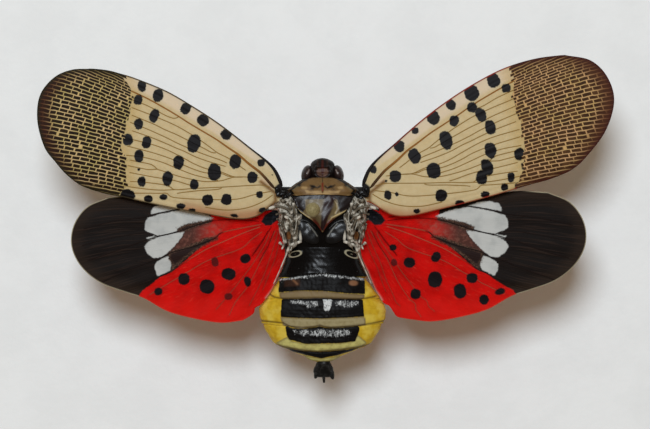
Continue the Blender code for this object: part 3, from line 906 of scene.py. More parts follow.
@dataclass
class Wing:
    """A wing's sheet between four edges, set at its hinge, with raised veins."""

    side: Side
    hinge: tuple = ()
    leading: tuple = ()
    outer: tuple = ()
    trailing: tuple = ()
    leading_left: tuple = ()
    outer_left: tuple = ()
    trailing_left: tuple = ()
    level: float = 0.0
    camber: float = 0.0
    setting: dict = field(default_factory=dict)
    rows: int = 288
    columns: int = 138
    thickness: float = 0.1
    dihedral: float = 2.0

    def flat(self, s: Array, t: Array, side: Side) -> Array:
        """The flat wing between its four edges.

        Formula: front and rear edges blended by t, plus root and rim blended by s, less the corners' blend.

        Args:
            s: places from root (0) to rim (1).
            t: places from the front (0) to the rear edge (1).
            side: whose edges are used.

        Returns:
            The places x, y.
        """
        left = side is Side.LEFT
        front = self.leading_left if left and self.leading_left else self.leading
        outer = self.outer_left if left and self.outer_left else self.outer
        rear = self.trailing_left if left and self.trailing_left else self.trailing
        lead = spaced((self.hinge[0], *front, outer[0]), s)
        trail = spaced((self.hinge[1], *rear, outer[-1]), s)
        root = spaced(self.hinge, t)
        rim = spaced(outer, t)
        s, t = s[..., None], t[..., None]
        corners = ((1 - s) * (1 - t) * np.array(self.hinge[0]) + (1 - s) * t * np.array(self.hinge[1])
                   + s * (1 - t) * np.array(outer[0]) + s * t * np.array(outer[-1]))
        return (1 - t) * lead + t * trail + (1 - s) * root + s * rim - corners

    def surface(self, s: Array, t: Array, side: Side | None = None) -> Array:
        """The wing's middle surface in place: turned, sized, shifted and mirrored, then arched and raised.

        Args:
            s, t: places from root to rim and from front to rear.
            side: a side other than the wing's own, if any.

        Returns:
            The points in millimetres.
        """
        s, t = np.broadcast_arrays(np.asarray(s, float), np.asarray(t, float))
        side = side or self.side
        sweep, size, shift = self.setting[side]
        pivot = (np.array(self.hinge[0]) + np.array(self.hinge[1])) / 2
        angle = math.radians(sweep)
        turn = np.array(((math.cos(angle), -math.sin(angle)), (math.sin(angle), math.cos(angle))))
        placed = (self.flat(s, t, side) - pivot) @ turn.T * size + pivot + np.array(shift) * s[..., None]
        out = placed[..., 0] - self.hinge[0][0]
        arch = self.camber * 4 * t * (1 - t) * np.minimum(1.0, 3 * s)
        height = self.level + (out * math.tan(math.radians(self.dihedral)) + arch) + self.pleats(s, t)
        return np.stack([placed[..., 0] * side.value, placed[..., 1], height], -1)

    def pattern(self, s: Array, t: Array) -> Array:
        """Where places of the wing show on the picture's left half, for lines and areas drawn once."""
        return VIEW.pixels(self.surface(s, t, Side.LEFT))

    def find(self, pixels: Array) -> tuple[Array, Array]:
        """Places of the wing that show at given spots of the picture's left half.

        Formula: the nearest point of a fine grid, then one Newton step with the grid's own slopes.

        Args:
            pixels: picture columns and rows.

        Returns:
            The places s and t.
        """
        s, t = np.meshgrid(np.linspace(0, 1, 161), np.linspace(0, 1, 161), indexing="ij")
        grid = self.pattern(s, t)
        by_s, by_t = np.gradient(grid, axis=0) * 160, np.gradient(grid, axis=1) * 160
        nearest = ((grid.reshape(1, -1, 2) - pixels[:, None]) ** 2).sum(-1).argmin(1)
        off = pixels - grid.reshape(-1, 2)[nearest]
        slopes = np.stack([by_s.reshape(-1, 2)[nearest], by_t.reshape(-1, 2)[nearest]], -1)
        change = np.einsum("nij,nj->ni", np.linalg.pinv(slopes), off)
        change = np.clip(change, -0.02, 0.02)
        return (np.clip(s.ravel()[nearest] + change[:, 0], 0, 0.995),
                np.clip(t.ravel()[nearest] + change[:, 1], 0.004, 0.996))

    def pleats(self, s: Array, t: Array) -> Array:
        """Small rises and falls of the membrane; none on the plain wing."""
        return 0 * s

    def values(self, s: Array, t: Array, points: Array) -> dict[str, Array]:
        """The pattern's values at places on the wing; none on the plain wing."""
        return {}

    def margin(self, points: Array) -> Array:
        """Distance in millimetres from the wing's outline.

        Args:
            points: places on the wing.

        Returns:
            A distance for each.
        """
        ends = np.linspace(0, 1, 60)
        none, full = 0 * ends, 0 * ends + 1
        edges = (self.surface(ends, none), self.surface(full, ends), self.surface(ends, full)[::-1])
        outline = np.vstack(edges)
        return path_distance(points[..., :2], outline[:, :2])

    def sheet(self, shell: Shell) -> None:
        """Adds the membrane: faces half a thickness from the middle surface, and less at the rim.

        Args:
            shell: the piece it joins.
        """
        s = np.linspace(0, 1, self.rows)[:, None]
        t = np.linspace(0, 1, self.columns)[None, :]
        s, t = np.broadcast_arrays(s, t)
        middle = self.surface(s, t)
        values = self.values(s, t, middle)
        half = np.full(s.shape, self.thickness / 2)
        half[[0, -1]] *= 0.5
        half[:, [0, -1]] *= 0.5
        lift = np.stack([0 * half, 0 * half, half], -1)
        shell.slab(middle + lift, middle - lift, values, self.coordinates(s, t, middle))

    def coordinates(self, s: Array, t: Array, points: Array) -> Array:
        """Map coordinates: millimetres out from the hinge, and rows across."""
        hinge = self.surface(np.zeros(1), np.full(1, 0.5))[0]
        return np.stack([np.linalg.norm(points[..., :2] - hinge[:2], axis=-1), t * 38.0], -1)

    def vein(self, shell: Shell, s: Array, t: Array, radius: Array | float, **marks: Array | float) -> None:
        """Adds one raised vein: a thin tube along a line on the middle surface, tapered at both ends.

        Args:
            shell: the piece it joins.
            s, t: its places from root to rim and from front to rear.
            radius: its radius.
            marks: values that differ from the membrane's, by name.
        """
        path = self.surface(s, t)
        taper = np.minimum(1.0, np.minimum(np.arange(len(path)), np.arange(len(path))[::-1]) / 6 + 0.35)
        rings = tube_rings(path, radius * taper, 6)
        values = {name: np.repeat(value[:, None], 6, 1) for name, value in self.values(s, t, path).items()}
        values |= {name: np.broadcast_to(value, rings.shape[:2]) for name, value in marks.items()}
        flat = self.coordinates(s, t, path)
        shell.loft(rings, values)
        shell.maps[-1] = np.vstack([np.repeat(flat, rings.shape[1], 0), flat[:1], flat[-1:]])


FOREWING_SPOTS = {
    Side.LEFT: (
        (142, 86, 4.6, 6.6, 0), (138, 100, 4.8, 5.6, 0), (158, 95.5, 5.6, 7.4, 10),
        (154.3, 115.5, 5, 7.8, 20), (138.7, 124, 4.9, 6.1, 0), (127.8, 139.4, 5.2, 6.7, 0),
        (146.6, 142.4, 4.9, 6.6, 15), (139, 156.2, 5.1, 7.2, 0), (141.7, 181.5, 4.4, 5.7, 0),
        (167.6, 178.6, 5.6, 7.6, 10), (178.6, 162.4, 5.7, 7.6, 0), (194, 143.2, 7, 9.4, 10),
        (185.6, 108.8, 5.6, 6.4, 30), (203, 120.2, 6.6, 6.2, 35), (226, 134.7, 6, 5.3, 30),
        (235.2, 161.6, 6.3, 7.7, 0), (214.3, 172, 7.2, 9, 0), (194.4, 184.6, 4.9, 5.7, 0),
        (207.6, 200, 5.6, 6, 0), (226.4, 199.5, 5.6, 6.1, 0), (252.4, 177.6, 5.6, 5.9, 0),
        (261.2, 162.5, 4.4, 4.1, 0), (272.3, 175, 1.25, 1.2, 0), (259.5, 194.6, 3.7, 3.9, 0),
        (163.4, 197.2, 4.6, 3.4, 0), (148.4, 198.8, 4.7, 4, 0), (127.4, 194.4, 8, 5.6, 10),
        (180.8, 206, 4.9, 3.2, 10), (192.2, 210.2, 4.4, 1.8, 0), (234.4, 215.8, 4.7, 2.3, 10),
        (262.7, 210, 4.1, 3.1, 0), (139, 169.5, 1.7, 1.6, 0)),
    Side.RIGHT: (
        (373.4, 169.6, 3.8, 4.1, 0), (399.3, 146.4, 5.8, 5.9, 0), (415, 130.7, 4.4, 3.6, 0),
        (433, 117.4, 6.7, 7.8, -30), (451, 104.8, 5.3, 6, -20), (471.6, 93, 7.8, 8.4, -20),
        (493.4, 80.4, 6.7, 7.8, -20), (506.2, 88.4, 5.2, 4.9, 0), (472, 107.4, 5.4, 5.8, 0),
        (454.2, 120.7, 5.3, 6, 0), (480.7, 114.7, 5.5, 7.8, -25), (490.4, 127.4, 5.7, 7.7, -10),
        (446, 140.3, 6.6, 9.9, -15), (414.5, 156, 6.3, 8.3, -20), (395.2, 176.2, 6.3, 6.2, 0),
        (433.6, 170.6, 7.4, 8.4, -10), (490.6, 150.4, 6.1, 8.4, -8), (487.2, 167.2, 6, 9, -20),
        (481.6, 177.4, 5.9, 7.8, 0), (519.3, 154.2, 5.4, 7.1, 0), (523.4, 165.8, 2.7, 4.7, 0),
        (511, 177, 4.1, 5.3, 0), (504.3, 187, 4.3, 4.1, 0), (522, 185.2, 8.4, 4.8, -15),
        (485.4, 194.4, 4.7, 3.6, 0), (459.6, 203.2, 4.8, 3.3, 0), (441, 195.6, 6.2, 6.7, 0),
        (388, 195, 4.2, 5.2, 0), (397, 193.8, 2.1, 2.5, 0), (417, 211.2, 4.2, 2.7, 0),
        (386, 181, 1.5, 1.4, 0)),
}
FOREWING_VEINS = (
    ((276, 189.5), (272.7, 186.5), (268.6, 181.8), (263.9, 176.5), (259.2, 171.8), (248.2, 163.3),
     (238.5, 154.8), (228.7, 148.1), (216.5, 139.6), (204.4, 132.3), (189.3, 123.3), (179.3, 116.9),
     (166.5, 109.2), (148.4, 99.2), (128, 89.5)),
    ((179.3, 116.9), (174.7, 118.3), (170.2, 117.4), (162.9, 114.2), (152, 108), (142, 103.5), (130, 99)),
    ((248.2, 171.9), (240.9, 167), (228.7, 158.5), (217.8, 153), (210.4, 147.5), (201.9, 141.4),
     (192.1, 134.9), (175.6, 125.5), (160.2, 118.7), (150, 114.5), (129, 106.5)),
    ((217.8, 153), (211.7, 152.4), (204.4, 148.7), (187.5, 140.1), (175.6, 134.2), (164.7, 129.6),
     (153.8, 124.2), (130, 114.5)),
    ((229, 164), (221.5, 160.5), (213, 157.5), (201.9, 153.5), (189.7, 148.7), (177.5, 143.3),
     (166.5, 137.8), (148.4, 129.6), (128, 121.5)),
    ((227.5, 167), (210.4, 162.1), (196, 157), (184.7, 151.5), (175.6, 147.8), (166.5, 143.7),
     (151.1, 137.4), (130, 130)),
    ((245.8, 177), (233.6, 176.7), (220.8, 171.9), (206.8, 168.8), (195.8, 164.6), (184.7, 158.7),
     (168.4, 150.5), (152, 144.5), (126, 138)),
    ((233.6, 177), (227.5, 176), (221.4, 173.7), (206.8, 173), (195.8, 170), (183.8, 165.1),
     (172.9, 159.6), (152.9, 152.8), (125, 145.5)),
    ((220, 180.8), (206.8, 178), (192.2, 174.3), (175.6, 167.8), (161.1, 161.9), (143.8, 157.4),
     (124, 155)),
    ((262, 178), (245.8, 177), (233.6, 177.3), (222.6, 180.4), (211.7, 181.6), (200.7, 181),
     (181.1, 176.9), (162.9, 171), (157.5, 169.2), (153.8, 166), (148.4, 163.7), (127, 159.5)),
    ((157.5, 169.2), (148.4, 169.6), (141.1, 168.3), (127, 165.5)),
    ((198.3, 187.1), (190.2, 185.1), (172.9, 180.1), (152.9, 176.9), (128, 172.2)),
    ((273, 188), (262.8, 185.3), (253, 185.3), (222.6, 187.1), (195.8, 188.3), (175.6, 189.6),
     (170.2, 186.9), (162.9, 184.6), (145.6, 182.4), (127, 181.3)),
    ((175.6, 189.6), (162.9, 190.1), (148.4, 189.2), (127, 186.5)),
    ((222.6, 187.6), (216.5, 189.5), (198.3, 190.7), (184, 192.3), (176, 193.6)),
    ((273.5, 191.5), (267.7, 192), (253, 195), (234.8, 199.3), (201.9, 199.3), (173.8, 197.4),
     (166.5, 193.3), (157.5, 193.3), (130, 193)),
    ((274, 194), (262, 202), (246, 208), (226, 210), (204, 207)),
)
NET_EDGE = {
    Side.LEFT: ((77.5, 125), (90, 132), (101, 133), (111, 130), (123.5, 127), (135, 124), (147, 122),
                (157, 125), (168, 127), (177.5, 126), (187, 127), (195, 119)),
    Side.RIGHT: ((69.2, 510.7), (86.4, 513), (96.7, 512), (109.4, 515.3), (122, 520), (133.5, 522.2),
                 (146, 523.4), (157.6, 523.4), (170.2, 522.2), (180.5, 518.8), (192, 514)),
}

FOREWING_ROOT = (
    (288, 189), (284.5, 184), (281.7, 178.5), (279.6, 178.5), (280.4, 182.4), (277, 185), (274.6, 187.2),
    (276, 191.5), (281, 197), (288, 194))
ROOT_BROWN = (
    (261, 181.8), (266.3, 186), (272.2, 190.7), (275.2, 193), (275.6, 200.7), (273.3, 203.6), (266.8, 209),
    (259, 212.5))
# The line of a painted highlight along the stout vein near the root.
ROOT_GLEAM = ((262.7, 179.5), (266.5, 183), (271, 187.7))
RUST_LINE = ((262.5, 214), (237.5, 217), (207.5, 213), (187.5, 209))


@dataclass
class Forewing(Wing):
    """One forewing: spotted tan leathery membrane, forked veins and a netted tip."""

    hinge: tuple = ((3.6, 5.3), (3.6, 4.0))
    leading: tuple = (
        (4.5, 7.2), (6.7, 9.27), (9.15, 11.4), (11.5, 13.15), (13.9, 14.67), (16.4, 15.93), (19.1, 16.74))
    outer: tuple = (
        (21.8, 17.1), (24.1, 16.6), (25.6, 15.1), (26.2, 12.9), (25.4, 10.2), (23.6, 7.8), (22.4, 6.75),
        (21.2, 6.18))
    trailing: tuple = (
        (4.5, 3.7), (6.1, 2.75), (7.9, 2.6), (10.6, 3.2), (14.5, 4.2), (18.6, 5.4), (20.1, 5.8))
    leading_left: tuple = (
        (4.5, 7.2), (6.7, 9.27), (9.15, 11.4), (11.5, 13.15), (13.9, 14.74), (16.66, 16.08), (18.13, 16.64),
        (19.35, 17.03))
    outer_left: tuple = (
        (21.0, 17.31), (22.49, 17.32), (23.93, 16.87), (25.08, 15.91), (25.72, 14.8), (25.96, 13.3),
        (25.84, 11.8), (25.37, 10.17), (24.58, 9.02), (23.7, 7.87), (22.53, 6.81), (21.4, 6.25))
    trailing_left: tuple = (
        (4.5, 3.7), (6.1, 2.75), (7.9, 2.6), (10.6, 3.2), (14.5, 4.2), (17.2, 4.98), (18.51, 5.38),
        (20.0, 5.76))
    level: float = 13.35
    camber: float = 0.35
    setting: dict = field(default_factory=lambda: {
        Side.RIGHT: (0.0, 1.0, (0.0, 0.0)), Side.LEFT: (-3.3, 0.986, (-0.46, -0.26))})
    folds: int = 14
    steep: dict = field(default_factory=lambda: {Side.LEFT: 0.37, Side.RIGHT: 0.34})
    fan: float = 0.0021
    bend: float = 0.0011
    net_start: float = 197.0
    net_row: float = 133.0
    pitch: float = 3.65

    def pleats(self, s: Array, t: Array) -> Array:
        """Shallow corrugations between the veins, fading at the tip."""
        return 0.015 * np.sin(t * 2 * math.pi * self.folds) * smooth(0.25, 0.5, s) * smooth(0.9, 0.75, s)

    def values(self, s: Array, t: Array, points: Array) -> dict[str, Array]:
        """The pattern's values.

        Formula: distances in millimetres from spots, net, outline and front edge, and soft shares by distance
        from lines at the root and rear edge.

        Args:
            s, t: places from root to rim and from front to rear.
            points: their points.

        Returns:
            The values, by name.
        """
        at = VIEW.pixels(points)
        rows, columns = zip(*NET_EDGE[self.side])
        net = (at[..., 0] - np.interp(at[..., 1], rows, columns)) * self.side.value * VIEW.step
        half = VIEW.fold(at)
        length = np.linalg.norm(points[..., :2] - self.surface(s, 0 * t)[..., :2], axis=-1)
        spot = spots_distance(at, FOREWING_SPOTS[self.side]) * VIEW.step + 0.03
        return {
            "spot": np.minimum(spot, 1.0), "tip": net, "far": smooth(4.0, 7.6, net),
            "edge": np.minimum(self.margin(points), 3.0), "costal": length,
            "front": smooth(0.145, 0.10, t) * smooth(0.05, 0.2, s),
            "rust": np.clip(bell(path_distance(half, RUST_LINE), 7.0), 0, 1),
            "root": smooth(0.7, -0.7, area_distance(half, FOREWING_ROOT)),
            "brown": bell(path_distance(half, ROOT_BROWN), 2.2) * 0.9,
            "root_highlight": bell(path_distance(half, ROOT_GLEAM), 1.8) * 0.8,
            "vein": 0 * s, "strong": 0 * s}

    def coordinates(self, s: Array, t: Array, points: Array) -> Array:
        """Map coordinates of the net: millimetres outwards, and rows across.

        Formula: rows leave a cross line at slopes that grow towards the front edge, and bend less steep
        outwards; a place's row is solved for from its column and row in the picture.

        Args:
            s, t: places from root to rim and from front to rear.
            points: their points.

        Returns:
            Two coordinates for each place.
        """
        at = VIEW.pixels(points)
        out = (at[..., 0] - VIEW.midline) * self.side.value - self.net_start
        slope = self.steep[self.side] + self.net_row * self.fan
        start = (at[..., 1] + slope * out - self.bend * out ** 2) / (1 + self.fan * out)
        row = start / self.pitch - 2.2 * smooth(100, 66, start)
        return np.stack([(out - 0.33 * (at[..., 1] - self.net_row)) * VIEW.step + 30.0, row], -1)

    def veins(self, shell: Shell) -> None:
        """Adds the front rim vein, stout and black at the root, and the forking ones.

        Args:
            shell: the piece they join.
        """
        run = np.linspace(0.0, 1.0, 200)
        stout = 0.05 + 0.03 * (1 - run) + 0.11 * bell(run - 0.03, 0.1)
        self.vein(shell, run, 0 * run + 0.004, stout, vein=1.0, root=smooth(0.4, 0.12, run)[:, None])
        for number, path in enumerate(FOREWING_VEINS):
            s, t = self.find(spaced(path, np.linspace(0, 1, 140)))
            strong = 1.0 if number == 0 else 0.0
            radius = 0.072 + strong * (0.02 + 0.07 * smooth(0.4, 0.02, s))
            self.vein(shell, s, t, radius, vein=1.0, strong=strong * 0.9,
                      root=strong * 0.85 * smooth(0.18, 0.08, s)[:, None])

    def make(self) -> None:
        """Builds and dresses the wing."""
        shell = Shell("spot", "tip", "far", "edge", "costal", "front", "rust", "vein", "strong", "root",
                      "brown", "root_highlight")
        self.sheet(shell)
        self.veins(shell)
        shell.build(f"skin_forewing_{self.side.word}", ForewingFinish(self.side).paint(), "forewing",
                    f"forewing_{self.side.word}")


HINDWING_SPOTS = {
    Side.LEFT: ((158.5, 291.5, 4.2, 3.7, 0), (184, 279, 5.8, 6, 0), (207, 286.5, 7.4, 7.2, 20),
                (228.5, 274, 7.2, 6, 10), (245.5, 258.5, 5.2, 4.7, -25), (247.5, 281.5, 3.4, 5.2, -10)),
    Side.RIGHT: ((393, 247.5, 3.7, 3.2, 0), (409.5, 262.5, 5.7, 5.2, 0), (436, 257, 4.4, 5.7, 30),
                 (435, 279.5, 7.2, 8.2, 0), (472, 278, 5.7, 5.2, 0), (415.5, 294, 5.2, 5.2, 0),
                 (460, 291, 6.2, 7.7, -10), (484, 299.5, 4.7, 5.2, 0), (500, 291.5, 5.2, 3.2, -25)),
}
FAINT_SPOTS = {
    Side.LEFT: ((215, 262, 3.6, 4.8, -15), (228.5, 296.5, 4, 3.4, 0)),
    Side.RIGHT: ((394, 262.5, 3.2, 3.7, 0),),
}
RED_AREA = (
    (206, 190), (212, 222), (222, 232), (215.5, 237.7), (200.8, 246.5), (187.6, 258.9), (174.4, 269.9),
    (168.6, 273.6), (161.2, 276.5), (153.9, 282.4), (142.1, 291.2), (120, 325), (200, 350), (310, 350),
    (310, 190))
WHITE_CELLS = (
    ((153.9, 206.6), (162.7, 204.4), (171.5, 204.9), (183.2, 208.3), (161.2, 212.1), (150.9, 214.0),
     (151.3, 210.5)),
    ((148, 217.9), (161.2, 213.7), (183.2, 209.4), (200.8, 212.5), (214.3, 217.9), (206.7, 221.5),
     (196.4, 222.6), (186.2, 224.5), (177.4, 228.9), (177.4, 231.1), (167.1, 234), (156.8, 235.5),
     (148, 232.2), (144.4, 229.3), (145.5, 221.5)),
    ((146.2, 237.7), (155.4, 235.9), (156.8, 236.9), (148, 239.9)),
    ((149.5, 240.8), (158.3, 237.2), (171.5, 233.8), (184.7, 231.4), (181.8, 236.9), (177.4, 242.8),
     (168.6, 252.0), (161.2, 257.3), (153.9, 258.4), (147.6, 253.8), (144.3, 247.9), (146.5, 243.5)),
    ((156.8, 261.9), (162.7, 258.2), (168.6, 256), (170.8, 260.4), (171.5, 264.8), (170, 270.7),
     (162.7, 274.3), (157.5, 275.8), (155.4, 270.7), (154.6, 265.5)),
)
FADE_AREA = (
    (184.7, 231.8), (196.4, 226.7), (215.5, 220.8), (232, 221.5), (224, 231.5), (214, 238.4), (192, 247.2),
    (171.5, 252.3), (168.6, 252.3), (177.4, 242.8), (181.8, 236.9))
STREAKS = (
    ((177.4, 228.4), (186.2, 224.5), (196.4, 222.6), (208.2, 219.6), (213.5, 219.8), (208.2, 222.9),
     (196.4, 226.4), (184.7, 231.4), (177.4, 231.8)),
    ((168.6, 252.3), (184.7, 247.4), (206.7, 238.0), (216.5, 236.0), (219.4, 238.5), (208.2, 244.3),
     (196.4, 250.1), (184.7, 258.9), (175.9, 266.3), (171.5, 272.1), (172.2, 264.8), (168.6, 258.9)),
)
INNER_EDGE = ((289.5, 249), (287.6, 253.7), (283.6, 266.8), (278.5, 277.5), (272.5, 289.5), (266, 298))
WEDGE_AREA = (
    (261, 221.4), (265.4, 214.5), (272, 210.5), (280, 209), (289, 208), (289, 219), (280.5, 219.5),
    (275.6, 221.5), (271.2, 225.5), (265.4, 225.5))
HINDWING_VEINS = (
    (((262.4, 219), (232, 213.5), (205, 208.5), (183.2, 208.8), (161.2, 212.8), (146, 217), (110, 222),
      (80, 230)), 0.08, 0.0),
    (((262.4, 221.5), (235, 219.5), (208.2, 221.8), (177.4, 231.8), (158.3, 236.4), (144.5, 240.6),
      (112, 252), (84, 262)), 0.085, 0.0),
    (((158.3, 236.4), (145.1, 232.8), (112, 238), (80, 246)), 0.07, 0.0),
    (((264, 224), (240, 228.5), (221.4, 232.8), (214, 238.6), (192, 247.0), (171.5, 252.5), (159.8, 258.6),
      (153.0, 260.6), (124, 272), (98, 284)), 0.085, 0.35),
    (((264, 225.5), (246, 232), (226, 240.5), (205, 250), (184, 263), (170, 272.1), (155.4, 278.5),
      (135, 288)), 0.066, 0.5),
    (((265.4, 229.6), (252, 239), (240.4, 248.7), (208.2, 260.4), (187.6, 272.1), (162.7, 286.8),
      (146, 297)), 0.066, 0.35),
    (((268.3, 230), (262, 242), (251.5, 256.5)), 0.076, 0.0),
    (((270, 229), (267, 240), (254, 262), (236, 286), (214, 312)), 0.066, 0.25),
    (((276.6, 228), (263.9, 254.5), (249.2, 283.9), (236, 301.5), (228, 318)), 0.066, 0.3),
    (((279, 229), (272, 252), (262, 280), (248, 308)), 0.064, 0.2),
    (((272, 226), (264, 238), (253, 254.5)), 0.076, 0.0),
    (((274.5, 230), (268, 246), (259, 262)), 0.07, 0.0),
    (((281, 232), (277, 252), (270, 272), (262, 292)), 0.066, 0.15),
)


@dataclass
class Hindwing(Wing):
    """One hindwing: scarlet, white and blackish brown membrane on radiating veins."""

    hinge: tuple = ((3.5, 3.05), (3.5, -0.05))
    leading: tuple = ((7.9, 3.6), (13.3, 4.25), (17.3, 4.85))
    outer: tuple = (
        (20.4, 4.75), (22.4, 3.85), (23.6, 2.15), (23.8, 0.2), (22.9, -1.7), (21.1, -3.2), (18.7, -4.1),
        (17.05, -4.65), (14.9, -5.85), (12.4, -6.55), (9.9, -6.95), (7.9, -6.75))
    trailing: tuple = (
        (3.5, -0.8), (3.78, -1.7), (4.31, -2.9), (4.69, -3.81), (5.14, -4.65), (5.51, -5.25), (6.05, -5.55),
        (6.4, -6.05), (6.75, -6.5), (7.35, -6.66))
    trailing_left: tuple = (
        (3.45, -0.9), (3.71, -2.02), (4.26, -2.97), (5.0, -4.21), (5.95, -5.3), (6.56, -5.62), (6.76, -6.1),
        (7.35, -6.5))
    level: float = 12.15
    camber: float = 0.2
    setting: dict = field(default_factory=lambda: {
        Side.RIGHT: (0.0, 1.0, (0.0, 0.0)), Side.LEFT: (0.0, 0.97, (-0.5, -0.37))})
    rows: int = 236
    columns: int = 150
    folds: int = 9

    def pleats(self, s: Array, t: Array) -> Array:
        """Fan folds that open outwards, and small crumples."""
        fan = np.sin(t ** 1.1 * 2 * math.pi * self.folds) * 0.022 * smooth(0.05, 0.4, s)
        return fan + 0.012 * ripple(np.stack([s * 9, t * 12], -1), 1.7, 5) * smooth(0.0, 0.2, s)

    def values(self, s: Array, t: Array, points: Array) -> dict[str, Array]:
        """The pattern's values: distances in millimetres from its areas and spots, and soft shares.

        Args:
            s, t: places from root to rim and from front to rear.
            points: their points.

        Returns:
            The values, by name.
        """
        at = self.pattern(s, t)
        own = VIEW.pixels(points)
        step = VIEW.step
        plain = spots_distance(own, HINDWING_SPOTS[self.side])
        faint = spots_distance(own, FAINT_SPOTS[self.side])
        return {
            "red": area_distance(at, RED_AREA) * step, "white": areas_distance(at, WHITE_CELLS) * step,
            "fade": area_distance(at, FADE_AREA) * step, "streak": areas_distance(at, STREAKS) * step,
            "blush": smooth(190, 220, at[..., 0]), "low": smooth(288, 308, at[..., 1]),
            "strand": bell(path_distance(at, INNER_EDGE), 1.0) * 0.9,
            "wedge": area_distance(at, WEDGE_AREA) * step,
            "spot": np.minimum(np.minimum(plain, faint) * step, 1.0), "faint": (faint < plain) * 1.0,
            "edge": np.minimum(self.margin(points), 3.0), "open": smooth(0.85, 0.95, s),
            "vein": 0 * s, "pale": 0 * s}

    def veins(self, shell: Shell) -> None:
        """Adds the edge veins and the radiating ones.

        Args:
            shell: the piece they join.
        """
        run = np.linspace(0.0, 1.0, 160)
        self.vein(shell, run, 0 * run + 0.004, 0.07 - 0.02 * run, vein=1.0)
        for path, radius, pale in HINDWING_VEINS:
            s, t = self.find(spaced(path, np.linspace(0, 1, 110)))
            self.vein(shell, s, t, radius, vein=1.0, pale=pale)

    def make(self) -> None:
        """Builds and dresses the wing."""
        shell = Shell("red", "white", "fade", "streak", "blush", "low", "strand", "wedge", "spot", "faint",
                      "edge", "open", "vein", "pale")
        self.sheet(shell)
        self.veins(shell)
        word = self.side.word
        shell.build(f"skin_hindwing_{word}", HINDWING_PAINT, "hindwing", f"hindwing_{word}")


HINDWING_PAINT = HindwingFinish().paint()


# ---- trunk ----

BLACK_PLATES = (
    ((284, 236), (322, 236), (361, 236), (366, 262), (366, 276.6), (356, 277), (345, 278), (322.5, 276),
     (300, 278), (286, 277.4), (277, 277.5), (281, 262)),
    ((279, 278.5), (288, 277.7), (300, 275), (322.5, 272.6), (345, 275), (358, 277.0), (365, 278),
     (364.7, 294), (345, 293.2), (322, 290.9), (300, 290.6), (279.2, 292.4)),
    ((281.5, 299), (321.2, 298.2), (363.5, 299.5), (363.6, 316.5), (345, 317.5), (322, 318.5), (300, 318),
     (281.3, 317)),
    ((284.5, 325.5), (291, 328), (300, 329), (315, 327.5), (319.6, 326), (324.2, 327.6), (332, 328.3),
     (350, 327), (360, 325.8), (358.5, 333), (355, 341.3), (339, 343.2), (322, 343.5), (307, 344),
     (290, 339.8), (286.6, 335)),
    ((285, 347.6), (299.8, 350.4), (318, 352), (339.5, 350.4), (359, 347.6), (352, 351), (339.5, 354.8),
     (321.2, 358.5), (304.4, 354.8), (291, 351.2)),
)
CREAM_BANDS = (
    ((279.5, 292.4), (300, 290.6), (322, 290.9), (345, 293.2), (364, 294.5), (364, 299.5), (322, 298.6),
     (281, 299)),
    ((281.3, 317), (300, 318), (322, 318.5), (345, 317.5), (364, 316.5), (366, 325), (350, 327),
     (332, 328.3), (319.6, 326), (300, 329), (283, 325)),
    ((288, 337), (292, 341), (307, 344), (322, 343.5), (339, 343.2), (353, 341), (358, 335), (366, 343),
     (361.5, 346.6), (339.5, 350), (318, 351.6), (299.8, 350), (282, 346.6), (277, 343)),
    ((303, 355.4), (321.2, 358.5), (340.5, 355.8), (334, 360.5), (322.7, 362.5), (312, 360.5)),
)
FROST_AREAS = (
    ((289, 299.3), (319, 300), (319, 306), (310, 309), (298, 305), (289, 303)),
    ((335, 300), (359, 300), (358, 306), (347, 308.5), (336, 306)),
    ((293, 329.5), (318, 329), (350, 329), (352, 335), (336, 338), (322, 337), (306, 336), (294, 334)),
)
BRIGHT_PATCH = ((322.7, 299.3), (333.4, 299.3), (331.5, 306), (328.5, 312), (324, 311))
ARCH_LINE = (
    (279, 279.5), (292, 279), (300, 277.3), (322.5, 274.9), (345, 277.2), (358, 278.7), (365, 279.2))
CREASES = (
    ((268, 292.4), (273.8, 297), (283, 298.6), (322, 298.2), (360.9, 299.2), (376, 296.2)),
    ((260.9, 320.7), (283, 323), (290.6, 326.8), (299.8, 328.5), (315, 327), (319.6, 325.4), (324.2, 327),
     (331.9, 327.9), (360.9, 325.3), (370, 323.7), (383.8, 320.7)),
    ((275, 344.5), (283, 346.6), (299.8, 350), (318, 351.6), (339.5, 350), (360.9, 346.6), (369, 344.5)),
)
RING_MARKS = ((295.7, 254.0, 5.9, 2.7, -14), (351.1, 254.2, 6.6, 3.0, 22))
TAN_SPOTS = ((353, 283, 4.0, 2.6, 0),)
TAN_STREAK = ((293, 280), (297.5, 284))
TINT_ROWS = ((288, 300, 316, 328, 342, 350), (0, 0, 0.5, 0.55, 1, 1))
BROWN_PLATE = ((284, 279), (300, 279), (301, 286), (285, 287))


